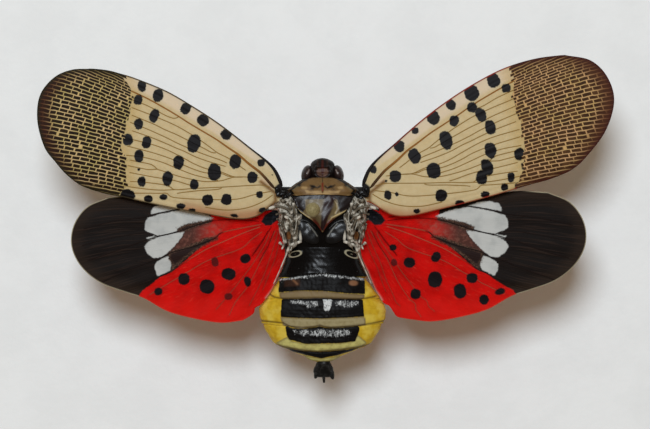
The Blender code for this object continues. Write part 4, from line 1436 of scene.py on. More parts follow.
@dataclass
class Trunk:
    """The thorax and the banded abdomen under one skin."""

    front: float = 4.4
    rear: float = -10.7
    rows: int = 340
    sides: int = 216
    stations: tuple = (
        (4.4, 3.15, 8.3, 12.7, 13.5, 4.0), (3.2, 3.2, 8.2, 12.7, 13.5, 4.0),
        (1.8, 3.2, 8.2, 12.6, 13.4, 4.0), (0.4, 3.15, 8.4, 12.0, 13.2, 3.4),
        (-0.15, 3.2, 8.5, 11.2, 12.95, 2.8), (-1.5, 3.35, 8.5, 10.7, 12.9, 2.4),
        (-2.1, 3.6, 8.5, 10.7, 12.9, 2.35), (-3.17, 4.0, 8.5, 10.7, 12.9, 2.3),
        (-4.27, 4.74, 8.45, 10.7, 12.9, 2.3), (-5.47, 5.7, 8.4, 10.7, 12.9, 2.3),
        (-5.89, 5.78, 8.4, 10.7, 12.9, 2.3), (-6.87, 5.62, 8.45, 10.7, 12.75, 2.3),
        (-7.7, 5.26, 8.6, 10.7, 12.6, 2.3), (-8.4, 4.8, 8.75, 10.7, 12.45, 2.3),
        (-9.09, 4.24, 8.9, 10.7, 12.3, 2.3), (-9.34, 3.79, 9.1, 10.7, 12.2, 2.3),
        (-9.72, 2.79, 9.4, 10.7, 11.95, 2.3), (-10.14, 1.76, 9.7, 10.7, 11.7, 2.3),
        (-10.43, 1.23, 9.9, 10.7, 11.5, 2.3), (-10.7, 0.6, 10.1, 10.6, 11.2, 2.3))
    ends: tuple = (
        (-0.15, -0.15), (-2.65, -3.05), (-4.95, -4.9), (-7.5, -7.3), (-9.75, -9.3), (-10.65, -10.5))
    arch_reach: float = 4.2
    step: float = 0.16

    def make(self) -> None:
        """Builds and dresses the skin.

        Formula: body sections, with each plate raised towards its arched rear edge, grooves between them,
        creases and fine wrinkles, all as shifts along the section's own outward direction.
        """
        places = np.linspace(self.front, self.rear, self.rows)
        rings, outward = section_rings(self.stations, places, self.sides)
        pixels = VIEW.pixels(rings)
        black = areas_distance(pixels, BLACK_PLATES) * VIEW.step
        creases = np.minimum.reduce([path_distance(pixels, line) for line in CREASES]) * VIEW.step
        y = rings[..., 1]
        bow = np.clip(rings[..., 0] / self.arch_reach, -1.2, 1.2) ** 2
        ramp = np.zeros_like(y)
        for (front, front_side), (rear, rear_side) in zip(self.ends[:-1], self.ends[1:]):
            start, end = front + (front_side - front) * bow, rear + (rear_side - rear) * bow
            share = np.clip((start - y) / (start - end), 0, 1)
            ramp += np.where((y <= start) & (y > end), self.step * (share - 0.4), 0.0)
            ramp -= 0.08 * bell(y - end, 0.06)
        marks = spots_distance(pixels, RING_MARKS)
        ring = np.maximum(bell(np.abs(marks), 0.75) * 0.9, 0.55 * smooth(-1.6, -2.6, marks))
        orange = np.maximum(smooth(0.8, -0.8, spots_distance(pixels, TAN_SPOTS)),
                            bell(path_distance(pixels, TAN_STREAK), 1.1) * 0.8)
        frost = smooth(2.0, -2.5, areas_distance(pixels, FROST_AREAS)) * 0.66
        frost = np.maximum(frost, smooth(1.0, -1.0, area_distance(pixels, BRIGHT_PATCH)) * 0.95)
        frost = np.maximum(frost, bell(path_distance(pixels, ARCH_LINE), 2.0) * 0.72) * smooth(0.4, 0.0, y)
        black = np.where(y > 0.3, -1.0, black)
        shift = ramp + 0.05 * smooth(0.05, -0.1, black) - 0.09 * bell(creases, 0.12) + 0.07 * ring
        wrinkles = 0.03 * ripple(rings, 1.3, 11) + 0.015 * ripple(rings, 0.45, 12)
        shift += wrinkles * (1 - 0.75 * smooth(-3, -2.4, y))
        # The crease value below is painted shade along the creases between the plates.
        values = {"black": black, "frost": frost, "ring": ring, "orange": orange,
                  "gloss": smooth(-2.9, -2.4, y), "crease": bell(creases, 0.08),
                  "brown": smooth(1.0, -1.5, area_distance(pixels, BROWN_PLATE)),
                  "tint": np.interp(pixels[..., 1], *TINT_ROWS),
                  "cream": areas_distance(pixels, CREAM_BANDS) * VIEW.step}
        shell = Shell(*values)
        shell.loft(rings + outward * shift[..., None], values)
        shell.build("skin_trunk", AbdomenFinish().paint(), "abdomen", "thorax",
                    *(f"abdomen_segment_{k}" for k in range(1, 6)))


BROWN = CuticleFinish("brown_cuticle", (58, 36, 28), (18, 11, 9), (104, 74, 58), 0.34, lumps=2.2,
                      accent=(58, 20, 14))
GOLDEN = CuticleFinish("golden_collar", (108, 82, 48), (14, 10, 8), (162, 134, 90), 0.42, lumps=2.6,
                       stain=(104, 104, 80), accent=(104, 40, 20))
OLIVE = CuticleFinish("olive_shield", (98, 84, 56), (20, 12, 12), (178, 158, 112), 0.26, lumps=1.2,
                      relief=0.03, stain=(34, 17, 17), accent=(84, 28, 18), shine=0.2)
BLACK = CuticleFinish("black_cuticle", (17, 16, 16), (9, 9, 9), (84, 80, 74), 0.34, wax=0.08)
WAXY = CuticleFinish("waxy_folds", (92, 83, 69), (16, 13, 12), (198, 192, 178), 0.5, lumps=3.4, relief=0.08,
                     accent=(108, 70, 36), shine=0.2)
GLOSS = CuticleFinish("gloss_black", (15, 15, 16), (6, 6, 7), (112, 112, 106), 0.3, coat=0.12, relief=0.03)
AMBER = CuticleFinish("amber_antenna", (186, 84, 26), (120, 44, 16), (226, 132, 62), 0.32, coat=0.3,
                      lumps=6.0)
# The eye's light colour is mostly used for its painted highlight.
FACETS = CuticleFinish("eye_facets", (44, 30, 27), (26, 18, 17), (150, 136, 128), 0.25, coat=0.25, lumps=7.0)

COLLAR_GOLD = (
    (322.5, 176), (312, 177), (305, 180.5), (298.5, 185), (291.5, 190.5), (294.6, 194.6), (302, 197.5),
    (313, 196), (322.5, 195))
COLLAR_STRIP = ((304, 190), (322.5, 190), (322.5, 194), (306, 194))
COLLAR_RIM = ((302.1, 179.1), (295, 183.6), (287.1, 189.9))
COLLAR_SILVER = ((303.4, 180), (296.6, 184.2), (289, 190.2), (292, 195))
COLLAR_REAR = ((293.6, 194.9), (302.1, 197), (312.9, 194.9), (322.5, 193.8))
COLLAR_KEEL = ((322.5, 178.5), (322.5, 190.5))
COLLAR_WAVE = ((299, 186), (302, 184.6), (306, 186), (310, 185), (313, 186.4))
COLLAR_PITS = ((314, 186.5), (317.5, 188), (320, 186))
COLLAR_GLEAM = ((303, 187.4), (306, 187.2))
COLLAR_STAIN = ((294.5, 190), (297.5, 186.5))
SHIELD_RIDGE = ((330, 199), (328, 206), (325, 216), (322.8, 228))
SHIELD_BOW = ((332.9, 199.1), (336.4, 203.4), (337.1, 209.1), (335, 213))
REAR_EDGE_HIGHLIGHT = ((307.9, 223.6), (312, 228.5), (317.1, 236))
REAR_RIDGE = ((294, 204), (296, 213), (297.5, 219.5), (305, 220.6), (311, 224), (316, 229))
WAX_OVAL = ((288.7, 235.5, 2.7, 4.5, 0),)
WAX_GAP = ((291, 242), (304, 243), (303, 250), (297, 249))
CROWN_RIM = ((322.5, 166.3), (317, 166.6), (314.6, 170), (315, 174.5), (318.5, 177.4), (322.5, 178))
CROWN = ((323, 167), (317.5, 167.5), (315.5, 171), (316.5, 175), (319.5, 177.2), (323, 177.8))
FACE_GROOVE = ((322.5, 161), (322.4, 173))
EYE_HIGHLIGHT = ((309, 170), (307.4, 173.6))
SHIELD_RIMS = (
    ((293.6, 200.6), (297.1, 209.1), (304.3, 214.9), (312.1, 219.9), (320, 229.9)),
    ((353.6, 202), (348.6, 209.1), (337.9, 214.9), (332.1, 217.7), (324.3, 229.9)))
SHIELD_DARK = (
    ((294, 199), (304, 199), (305, 208), (302, 212), (297, 208)),
    ((338, 199), (353, 200), (349, 208), (341, 212), (339, 206)))
WAX_ROWS = (
    (196, 280, 292), (200, 278, 293.5), (207, 276, 297), (215, 279, 303), (225, 277, 301), (235, 279, 299),
    (245, 283, 296), (253, 285, 290))
WAX_STRANDS = (
    (((266, 210.5), (272, 207.5), (279, 206.5), (286, 208.5), (292, 213)), 0.16, 0.22, 13.9, 0.75),
    (((293.3, 203), (294.5, 212), (298, 218.5), (300, 229), (300.5, 241)), 0.2, 0.2, 13.9, 0.78),
    (((281, 200), (286, 202.5), (291, 208)), 0.22, 0.2, 14.0, 0.66),
    (((277, 219), (281, 222), (285, 228), (286, 232)), 0.15, 0.12, 13.3, 0.66),
    (((283, 215), (288, 219), (291, 225), (293, 230)), 0.16, 0.14, 13.9, 0.74),
    (((276, 214.5), (283, 213), (290, 216), (295, 222)), 0.14, 0.14, 13.95, 0.62),
    (((278.5, 224), (282, 229), (284.5, 236), (286, 243)), 0.15, 0.13, 13.2, 0.72),
    (((291, 231), (294, 236), (296, 243), (293, 247)), 0.28, 0.22, 13.75, 0.8),
    (((301, 241.5), (295, 243.5), (290, 246), (287.5, 251)), 0.22, 0.18, 13.5, 0.95),
    (((288.5, 247), (286.5, 254), (283, 262.5), (278.5, 273), (273.5, 284)), 0.13, 0.05, 12.75, 0.95),
    (((280, 243), (283, 246), (282, 249)), 0.2, 0.1, 12.95, 0.95),
)


@dataclass
class Thorax:
    """The plates over the thorax: collar, shield, rear plates, wax folds and wing knobs."""

    pronotum: tuple = (
        (6.08, 1.2, 10.2, 12.2, 13.2, 2.4), (5.93, 1.84, 9.4, 12.4, 13.5, 2.5),
        (5.6, 2.35, 9.0, 12.6, 13.75, 2.8), (5.3, 2.75, 8.7, 12.7, 13.95, 3.0),
        (4.96, 3.2, 8.6, 12.7, 14.05, 3.2), (4.7, 3.0, 8.5, 12.7, 14.1, 3.3),
        (4.35, 2.6, 8.4, 12.7, 14.1, 3.4))
    scutellum: tuple = (
        (4.3, 2.68), (3.9, 2.58), (3.4, 2.36), (2.95, 1.98), (2.6, 1.5), (2.25, 0.98), (1.8, 0.5),
        (1.4, 0.2), (1.15, 0.06))
    knobs: tuple = (
        (3.74, 4.6, 13.85, (0.46, 0.27, 0.2), -15, 71), (4.05, 4.92, 13.68, (0.24, 0.36, 0.16), 10, 72),
        (3.2, 4.42, 13.7, (0.5, 0.18, 0.16), -30, 73))
    plate_at: tuple = (1.35, 1.15, 13.38)
    plate_halves: tuple = (1.35, 0.75, 0.2)
    plate_turn: float = 43
    ridge_level: float = 13.5
    ridge_radius: float = 0.08
    shield_level: float = 13.78
    shield_foot: float = 13.7
    finishes: dict = field(default_factory=dict)

    def collar(self) -> None:
        """The pronotum: a broad collar with raised rims, a keel and a pale rear line."""
        places = np.linspace(self.pronotum[0][0], self.pronotum[-1][0], 130)
        rings, outward = section_rings(self.pronotum, places, 220)
        middle = 1 - np.clip(np.abs(rings[..., 0]) / 3.2, 0, 1) ** 2
        rings[..., 1] += 0.2 * smooth(5.2, 4.4, rings[..., 1]) * middle
        at = VIEW.folded(rings)
        lines = (COLLAR_RIM, COLLAR_SILVER, COLLAR_REAR, COLLAR_KEEL, COLLAR_WAVE, COLLAR_PITS, COLLAR_GLEAM,
                 COLLAR_STAIN)
        rim, silver, rear, keel, wavy, pits, gleam, stain = (path_distance(at, line) for line in lines)
        gold = area_distance(at, COLLAR_GOLD)
        up = smooth(12.6, 13.4, rings[..., 2])
        relief = 0.1 * bell(rim, 1.4) + 0.07 * bell(keel, 1.3) - 0.05 * bell(pits, 1.2)
        relief += 0.05 * bell(rear, 1.0) - 0.04 * bell(wavy, 1.2)
        shift = up * relief + 0.02 * ripple(rings, 0.7, 21)
        shade = 0.5 * smooth(0.8, -0.8, gold) + 0.4 * bell(silver, 0.8) + 0.5 * bell(rear, 0.8)
        shade += 0.35 * smooth(0.5, -1.5, area_distance(at, COLLAR_STRIP))
        shade += 0.3 * bell(gleam, 2.6)
        shade -= 0.16 * bell(wavy, 1.2) + 0.2 * bell(pits, 1.0)
        shade += 0.08 * ripple(np.abs(rings), 1.1, 22) * smooth(0.5, -1.0, gold)
        values = {"shade": np.clip(shade, 0, 1) * up, "stain": up * bell(stain, 2.6) * 0.42,
                  "accent": up * bell(keel, 1.3) * smooth(181, 184, at[..., 1]) * 0.8}
        shell = Shell(*values)
        shell.loft(rings + outward * shift[..., None], values)
        shell.build("collar", self.finishes["golden"], "cuticle_brown", "pronotum")

    def shield(self) -> None:
        """The scutellum: a domed triangular plate with a middle ridge and raised side rims, with painted
        highlights on the rims and a painted shadow under the collar's edge.
        """
        table = np.array(self.scutellum)
        v = np.linspace(0, 1, 150)[:, None]
        u = np.linspace(-1, 1, 140)[None, :]
        y = table[0, 0] + (table[-1, 0] - table[0, 0]) * v + 0 * u
        half = np.interp(-y, -table[:, 0], table[:, 1])
        x = half * u
        y = y + 0.2 * (1 - v) ** 3 * (1 - u ** 2)
        dome = np.sqrt(np.clip(1 - (x / (half + 0.12)) ** 2, 0, 1)) * (0.28 + 0.3 * np.sin(v * math.pi * 0.8))
        z = self.shield_level + dome
        places = np.stack([x, y, z], -1)
        at = VIEW.pixels(places)
        rim = np.minimum.reduce([path_distance(at, line) for line in SHIELD_RIMS])
        ridge, bow = path_distance(at, SHIELD_RIDGE), path_distance(at, SHIELD_BOW)
        dark = areas_distance(at, SHIELD_DARK)
        ridge = ridge / (0.5 + 0.5 * smooth(226, 204, at[..., 1]))
        z = z + 0.05 * bell(ridge, 4.4) + 0.09 * bell(rim, 1.1) - 0.03 * bell(bow, 1.0)
        z = z + 0.012 * ripple(places, 0.6, 31)
        places = np.stack([x, y, z], -1)
        row, off = at[..., 1], np.abs(u) + 0 * v
        # Painted highlight along the raised side rims, in the rear part only.
        shade = 0.5 + 0.55 * bell(rim, 0.9) * smooth(203, 208, row) + 0.24 * bell(bow, 1.2)
        shade -= 0.5 * smooth(2.0, -1.5, dark)
        # Painted shadow across the front, under the collar's rear edge; the darker outer edge beyond the rims
        # is the plate's own colour.
        shade -= 0.5 * smooth(200.5, 197, row) + 0.35 * smooth(0.86, 0.96, off) * (1 - bell(rim, 1.0))
        values = {"shade": np.clip(shade, 0, 1), "stain": np.clip(bell(ridge, 5.2) * 1.3, 0, 1),
                  "accent": 0.8 * smooth(212, 224, row) * smooth(0.3, 0.7, off)}
        shell = Shell(*values)
        shell.slab(places, np.stack([x * 0.97, y, np.full_like(x, self.shield_foot)], -1), values)
        shell.build("shield", self.finishes["olive"], "cuticle_brown", "scutellum")

    def rear_plates(self, side: Side) -> None:
        """A slanting plate beside the shield's tip, with a painted highlight along its pale edge, and the
        ridge in front of it.

        Args:
            side: the side it is on.
        """
        shell = Shell("shade")
        x, y, z = self.plate_at
        turn = side.value * self.plate_turn
        rings = ball_rings((side.value * x, y, z), self.plate_halves, turn, 70, 90, (0.9, 0.02, 41))
        # Painted highlight: the plate is paler along its inner front edge, where the lamp catches it.
        edge = path_distance(VIEW.folded(rings), REAR_EDGE_HIGHLIGHT)
        shell.loft(rings, {"shade": 0.36 + 0.6 * bell(edge, 0.9) + 0.1 * ripple(rings, 0.5, 43)})
        ridge = VIEW.points(spaced(REAR_RIDGE, np.linspace(0, 1, 60)), self.ridge_level)
        ridge[:, 0] = np.abs(ridge[:, 0]) * side.value
        shell.loft(tube_rings(ridge, self.ridge_radius, 14), {"shade": 0.6})
        shell.build(f"rear_plate_{side.word}", self.finishes["gloss"], "cuticle_black")

    def wax_folds(self, side: Side) -> None:
        """Crumpled waxy folds between the wing roots and the shield, with folded strands over them.

        Formula: a sheet between given picture columns in each row, falling outwards and rearwards, raised by
        the ridges of two wave patterns stretched along the body.

        Args:
            side: the side they are on.
        """
        rows, left, right = (np.array(column, float) for column in zip(*WAX_ROWS))
        v = np.linspace(0, 1, 220)[:, None]
        u = np.linspace(0, 1, 110)[None, :]
        row = rows[0] + (rows[-1] - rows[0]) * v
        first, last = np.interp(row, rows, left), np.interp(row, rows, right)
        column = first + (last - first) * u
        row = row + 0 * column
        at = np.stack([column, row], -1)
        places = VIEW.points(at, 13.4)
        inward = smooth(0.0, 0.7, u)
        level = 13.6 - 1.2 * smooth(212, 224, row) * (1 - inward) - 0.5 * smooth(232, 250, row) * inward
        stretched = np.stack([column, row * 0.42 + column * 0.2], -1)
        folds = 1 - np.abs(ripple(stretched, 7.5, 51 + side.value)) * 1.1
        fine = 1 - np.abs(ripple(np.stack([column, row * 0.7], -1), 4.0, 61 + side.value)) * 1.2
        brim = np.clip(np.minimum(u, 1 - u) / 0.12, 0, 1) * np.clip(np.minimum(v, 1 - v) / 0.05, 0, 1)
        deep = 0.5 + 0.5 * smooth(206, 220, row)
        places[..., 2] = level + (0.34 * folds * deep + 0.08 * fine) * brim - 0.35 * (1 - brim)
        places[..., 0] = np.abs(places[..., 0]) * side.value
        floor = places.copy()
        floor[..., 2] = level - 0.6
        oval, gap = spots_distance(at, WAX_OVAL), area_distance(at, WAX_GAP)
        # Painted light and shade: the folds' crests are painted paler and the valleys between them darker, by
        # the same waves that raise the sheet.
        shade = 0.5 + 0.36 * folds * deep + 0.16 * fine + 0.3 * (1 - deep)
        shade += 0.25 * bell(at[..., 0] - 279, 3.0) * smooth(206, 196, row)
        shade -= 0.5 * smooth(1.0, -1.0, gap) + 0.3 * bell(np.abs(oval), 1.1)
        values = {"shade": np.clip(shade, 0, 1), "accent": smooth(0.5, -1.0, oval) * 0.9}
        shell = Shell(*values)
        shell.slab(places, floor, values)
        share = np.linspace(0, 1, 60)
        for path, start, end, height, pale in WAX_STRANDS:
            line = VIEW.points(spaced(path, share), height)
            line[:, 0] = np.abs(line[:, 0]) * side.value
            sinks = height > 13.8 and path[-1][1] > 240
            line[:, 2] += 0.12 * np.sin(share * 9.0) - (0.7 * share if sinks else 0)
            wave = ripple(np.stack([share * 6, share * 0 + start * 40], -1), 1.4, 81)
            reach = (start + (end - start) * share) * (0.62 + 0.07 * wave)
            tint = (pale - 0.12 + 0.22 * wave)[:, None]
            shell.loft(tube_rings(line, reach, 14), {"shade": tint, "accent": 0.0})
        shell.build(f"wax_folds_{side.word}", self.finishes["waxy"], "cuticle_black")

    def knob(self, side: Side) -> None:
        """The glossy knob over the forewing's root.

        Args:
            side: the side it is on.
        """
        shell = Shell("shade")
        for x, y, z, halves, turn, seed in self.knobs:
            rings = ball_rings((side.value * x, y, z), halves, side.value * turn, 40, 56, (0.4, 0.05, seed))
            shell.loft(rings, {"shade": 0.3})
        shell.build(f"wing_knob_{side.word}", self.finishes["gloss"], "cuticle_black")

    def make(self) -> None:
        """Builds every plate."""
        self.collar()
        self.shield()
        for side in Side:
            self.rear_plates(side)
            self.wax_folds(side)
            self.knob(side)


@dataclass
class Head:
    """Head capsule, eyes, antennae and beak."""

    stations: tuple = (
        (7.86, 0.15, 11.85, 12.1, 12.3, 2.2), (7.8, 0.45, 11.6, 12.05, 12.45, 2.2),
        (7.7, 0.68, 11.2, 12.0, 12.65, 2.3), (7.55, 0.93, 10.6, 11.9, 12.8, 2.4),
        (7.35, 1.07, 10.0, 11.85, 12.95, 2.5), (7.0, 1.12, 9.1, 11.8, 13.05, 2.6),
        (6.6, 1.2, 8.6, 11.7, 13.1, 2.6), (6.05, 1.2, 8.9, 11.6, 12.95, 2.6))
    rear: float = 6.05
    length: float = 1.81
    eye: tuple = ((1.42, 6.42, 11.75), (0.5, 0.82, 0.98))
    eye_turn: float = 14.0
    ridge_off: float = 4.5
    bulb: tuple = (1.42, 6.45, 9.75)
    bulb_radius: float = 0.42
    bristle_tip: tuple = (1.75, 5.6, 7.7)
    bristle_radii: tuple = (0.2, 0.04)
    beak: tuple = ((0, 7, 8.45), (0, 6.6, 7.95), (0, 6, 7.75), (0, 3, 7.6), (0, -0.9, 7.6))
    beak_radii: tuple = (0.34, 0.32, 0.28, 0.26, 0.2)
    beak_joints: tuple = (0.2, 0.45, 0.75)
    finishes: dict = field(default_factory=dict)

    def capsule(self) -> None:
        """The head: a dark grooved face in front, and a tan hollow crown with raised rims above."""
        places = self.rear + self.length * np.sin(np.linspace(math.pi / 2, 0, 130))
        rings, outward = section_rings(self.stations, places, 180)
        at = VIEW.folded(rings)
        rim, groove = path_distance(at, CROWN_RIM), path_distance(at, FACE_GROOVE)
        crown = area_distance(at, CROWN)
        ridges = bell(VIEW.midline - at[..., 0] - self.ridge_off, 1.5) * smooth(169, 166, at[..., 1])
        up = smooth(12.0, 12.6, rings[..., 2])
        relief = 0.1 * bell(rim, 1.3) - 0.07 * smooth(1.0, -2.0, crown) - 0.06 * bell(groove, 1.0)
        shift = up * (relief + 0.05 * ridges)
        shift += 0.015 * ripple(rings, 0.6, 81)
        shade = 0.06 + up * (0.66 * smooth(0.5, -1.5, crown) + 0.3 * ridges)
        values = {"shade": np.clip(shade, 0, 1), "accent": up * bell(groove, 1.6) * 0.85}
        shell = Shell(*values)
        shell.loft(rings + outward * shift[..., None], values)
        shell.build("head_capsule", self.finishes["brown"], "cuticle_brown", "head")

    def eyes(self, side: Side) -> None:
        """A compound eye with fine facets, and a painted highlight along a paler streak.

        Args:
            side: the side it is on.
        """
        (x, y, z), halves = self.eye
        rings = ball_rings((side.value * x, y, z), halves, side.value * self.eye_turn, 90, 120)
        shell = Shell("shade")
        # Painted highlight: the eye is paler along a streak where the lamp would shine on it.
        streak = bell(path_distance(VIEW.folded(rings), EYE_HIGHLIGHT), 1.1)
        shell.loft(rings, {"shade": 0.4 + 0.4 * streak})
        shell.build(f"eye_dome_{side.word}", self.finishes["eye"], "eye", f"eye_{side.word}")

    def antenna(self, side: Side) -> None:
        """A round antenna base with pits, and its bristle.

        Args:
            side: the side it is on.
        """
        x, y, z = side.value * self.bulb[0], *self.bulb[1:]
        shell = Shell("shade")
        rings = ball_rings((x, y, z), (self.bulb_radius,) * 3, 0, 48, 64, (0.2, 0.02, 91))
        shell.loft(rings, {"shade": 0.5})
        tip = np.array((side.value * self.bristle_tip[0], *self.bristle_tip[1:]))
        middle = (np.array((x, y, z)) + tip) / 2 + (0, 0.15, 0)
        path = spaced(((x, y, z - 0.2), tuple(middle), tuple(tip)), np.linspace(0, 1, 30))
        shell.loft(tube_rings(path, np.linspace(*self.bristle_radii, 30), 12, (0, 1, 0)), {"shade": 0.3})
        shell.build(f"antenna_bulb_{side.word}", self.finishes["amber"], "antenna", f"antenna_{side.word}")

    def sucking_beak(self) -> None:
        """The beak under the head, in jointed lengths."""
        share = np.linspace(0, 1, 90)
        path = spaced(self.beak, share)
        radii = spaced(tuple((radius,) for radius in self.beak_radii), share)[:, 0]
        joints = 1 - 0.14 * sum(bell(share - place, 0.012) for place in self.beak_joints)
        shell = Shell("shade", "accent")
        shell.loft(tube_rings(path, radii * joints, 20, (1, 0, 0)), {"shade": 0.35, "accent": 0.0})
        shell.build("beak", self.finishes["brown"], "cuticle_brown", "rostrum")

    def make(self) -> None:
        """Builds the head's pieces."""
        self.capsule()
        self.sucking_beak()
        for side in Side:
            self.eyes(side)
            self.antenna(side)


@dataclass
class Legs:
    """Six legs folded under the body, with spines and claws."""

    joints: dict = field(default_factory=lambda: {
        "fore": ((1.25, 4.75, 8.1), (4.7, 5.0, 6.7), (2.5, 4.0, 5.1), (1.9, 3.4, 4.95)),
        "mid": ((1.3, 1.9, 7.9), (5.4, 2.2, 6.4), (2.9, 0.5, 5.1), (2.0, -0.3, 4.95)),
        "hind": ((1.25, -0.6, 8.0), (3.1, -4.2, 6.2), (2.3, -8.9, 6.4), (1.6, -10.0, 6.0))})
    radii: tuple = (0.42, 0.36, 0.27, 0.25)
    spines: tuple = (0.25, 0.45, 0.65, 0.85)
    finishes: dict = field(default_factory=dict)

    def path(self, joints: tuple, side: Side) -> tuple[Array, Array]:
        """The leg's middle line: straight between joints, with short rounded bends.

        Args:
            joints: its ends and joints on the right side.
            side: the side it is on.

        Returns:
            The line's points, and the radius at each.
        """
        corners = [np.array((side.value * x, y, z)) for x, y, z in joints]
        points, sizes = [], []
        bends = np.linspace(0, 1, 9)[:, None]
        points.append(corners[0][None])
        sizes.append([self.radii[0]])
        for k in (1, 2):
            before, joint, after = corners[k - 1], corners[k], corners[k + 1]
            enter = joint + (before - joint) / np.linalg.norm(before - joint) * 0.6
            leave = joint + (after - joint) / np.linalg.norm(after - joint) * 0.6
            last = points[-1][-1]
            run = np.linspace(0, 1, 40)[1:-1, None]
            points.append(last + (enter - last) * run)
            belly = 1 + 0.12 * np.sin(run[:, 0] * math.pi)
            sizes.append((self.radii[k - 1] + (self.radii[k] - self.radii[k - 1]) * run[:, 0]) * belly)
            points.append(enter * (1 - bends) ** 2 + joint * 2 * bends * (1 - bends) + leave * bends ** 2)
            sizes.append(np.full(9, self.radii[k]) * (1 - 0.16 * np.sin(bends[:, 0] * math.pi)))
        last = points[-1][-1]
        run = np.linspace(0, 1, 24)[1:, None]
        points.append(last + (corners[3] - last) * run)
        sizes.append(self.radii[2] * (0.86 + 0.1 * np.sin(run[:, 0] * 6 * math.pi) - 0.1 * run[:, 0]))
        return np.vstack(points), np.concatenate(sizes)

    def leg(self, pair: str, side: Side) -> None:
        """One leg, with spines on a hind shin and two claws.

        Args:
            pair: fore, mid or hind.
            side: the side it is on.
        """
        joints = self.joints[pair]
        path, radii = self.path(joints, side)
        up = (0, 0, 1) if pair == "hind" else (0, 1, 0)
        shell = Shell("shade")
        shell.loft(tube_rings(path, radii, 18, up), {"shade": 0.4})
        tip, heading = path[-1], path[-1] - path[-6]
        heading /= np.linalg.norm(heading)
        for turn in (-1, 1):
            bend = tip + heading * 0.2 + np.array((turn * 0.12, 0, -0.05))
            point = bend + heading * 0.14 + np.array((turn * 0.05, 0, -0.12))
            claw = spaced((tip, bend, point), np.linspace(0, 1, 10))
            shell.loft(tube_rings(claw, np.linspace(0.1, 0.03, 10), 8, (1, 0.3, 0)), {"shade": 0.3})
        if pair == "hind":
            knee, ankle = (np.array((side.value * x, y, z)) for x, y, z in joints[1:3])
            lean = (ankle - knee) / np.linalg.norm(ankle - knee) * 0.5 + np.array((side.value, 0.0, -0.3))
            lean /= np.linalg.norm(lean)
            for place in self.spines:
                root = knee + (ankle - knee) * place
                spine = root + lean * np.linspace(0, 0.55, 8)[:, None]
                shell.loft(tube_rings(spine, np.linspace(0.2, 0.05, 8), 8, (0, 0, 1)), {"shade": 0.3})
        name = f"{pair}_{side.word}"
        shell.build(f"limb_{name}", self.finishes["black"], "cuticle_black", f"leg_{name}")

    def make(self) -> None:
        """Builds the six legs."""
        for pair in self.joints:
            for side in Side:
                self.leg(pair, side)


@dataclass
class Tail:
    """The black end piece with its three blunt prongs."""

    stations: tuple = (
        (-10.35, 0.45, 10.0, 10.6, 11.2, 2.4), (-10.62, 0.55, 9.95, 10.6, 11.3, 2.4),
        (-10.85, 0.66, 9.9, 10.6, 11.35, 2.4), (-11.24, 0.87, 9.95, 10.6, 11.2, 2.4),
        (-11.6, 0.91, 10.1, 10.6, 11.05, 2.4), (-11.95, 0.84, 10.25, 10.6, 10.95, 2.4),
        (-12.1, 0.55, 10.4, 10.6, 10.8, 2.2))
    across: float = 0.1
    level: float = 10.6
    prongs: tuple = (
        ((-0.55, -11.6), (-0.78, -12.2), 0.28, 0.1), ((0.0, -11.8), (0.04, -12.6), 0.16, 0.09),
        ((0.65, -11.6), (0.85, -12.28), 0.28, 0.1))
    finishes: dict = field(default_factory=dict)

    def make(self) -> None:
        """Builds the tail."""
        places = np.linspace(self.stations[0][0], self.stations[-1][0], 80)
        rings, outward = section_rings(self.stations, places, 90)
        rings[..., 0] += self.across
        shell = Shell("shade")
        rough = 0.02 * ripple(rings, 0.6, 95)
        shell.loft(rings + outward * rough[..., None], {"shade": 0.2 + rough * 3})
        share = np.linspace(0, 1, 24)
        for (x, y), (tip_x, tip_y), start, end in self.prongs:
            middle = ((x + tip_x) / 2, (y + tip_y) / 2, 10.66)
            path = spaced(((x, y, self.level), middle, (tip_x, tip_y, self.level)), share)
            path[:, 0] += self.across
            rings = tube_rings(path, start + (end - start) * share ** 2, 16)
            shell.loft(rings, {"shade": 0.2 + 0.3 * (share[:, None] > 0.6)})
        shell.build("tail_piece", self.finishes["black"], "cuticle_black", "tail")


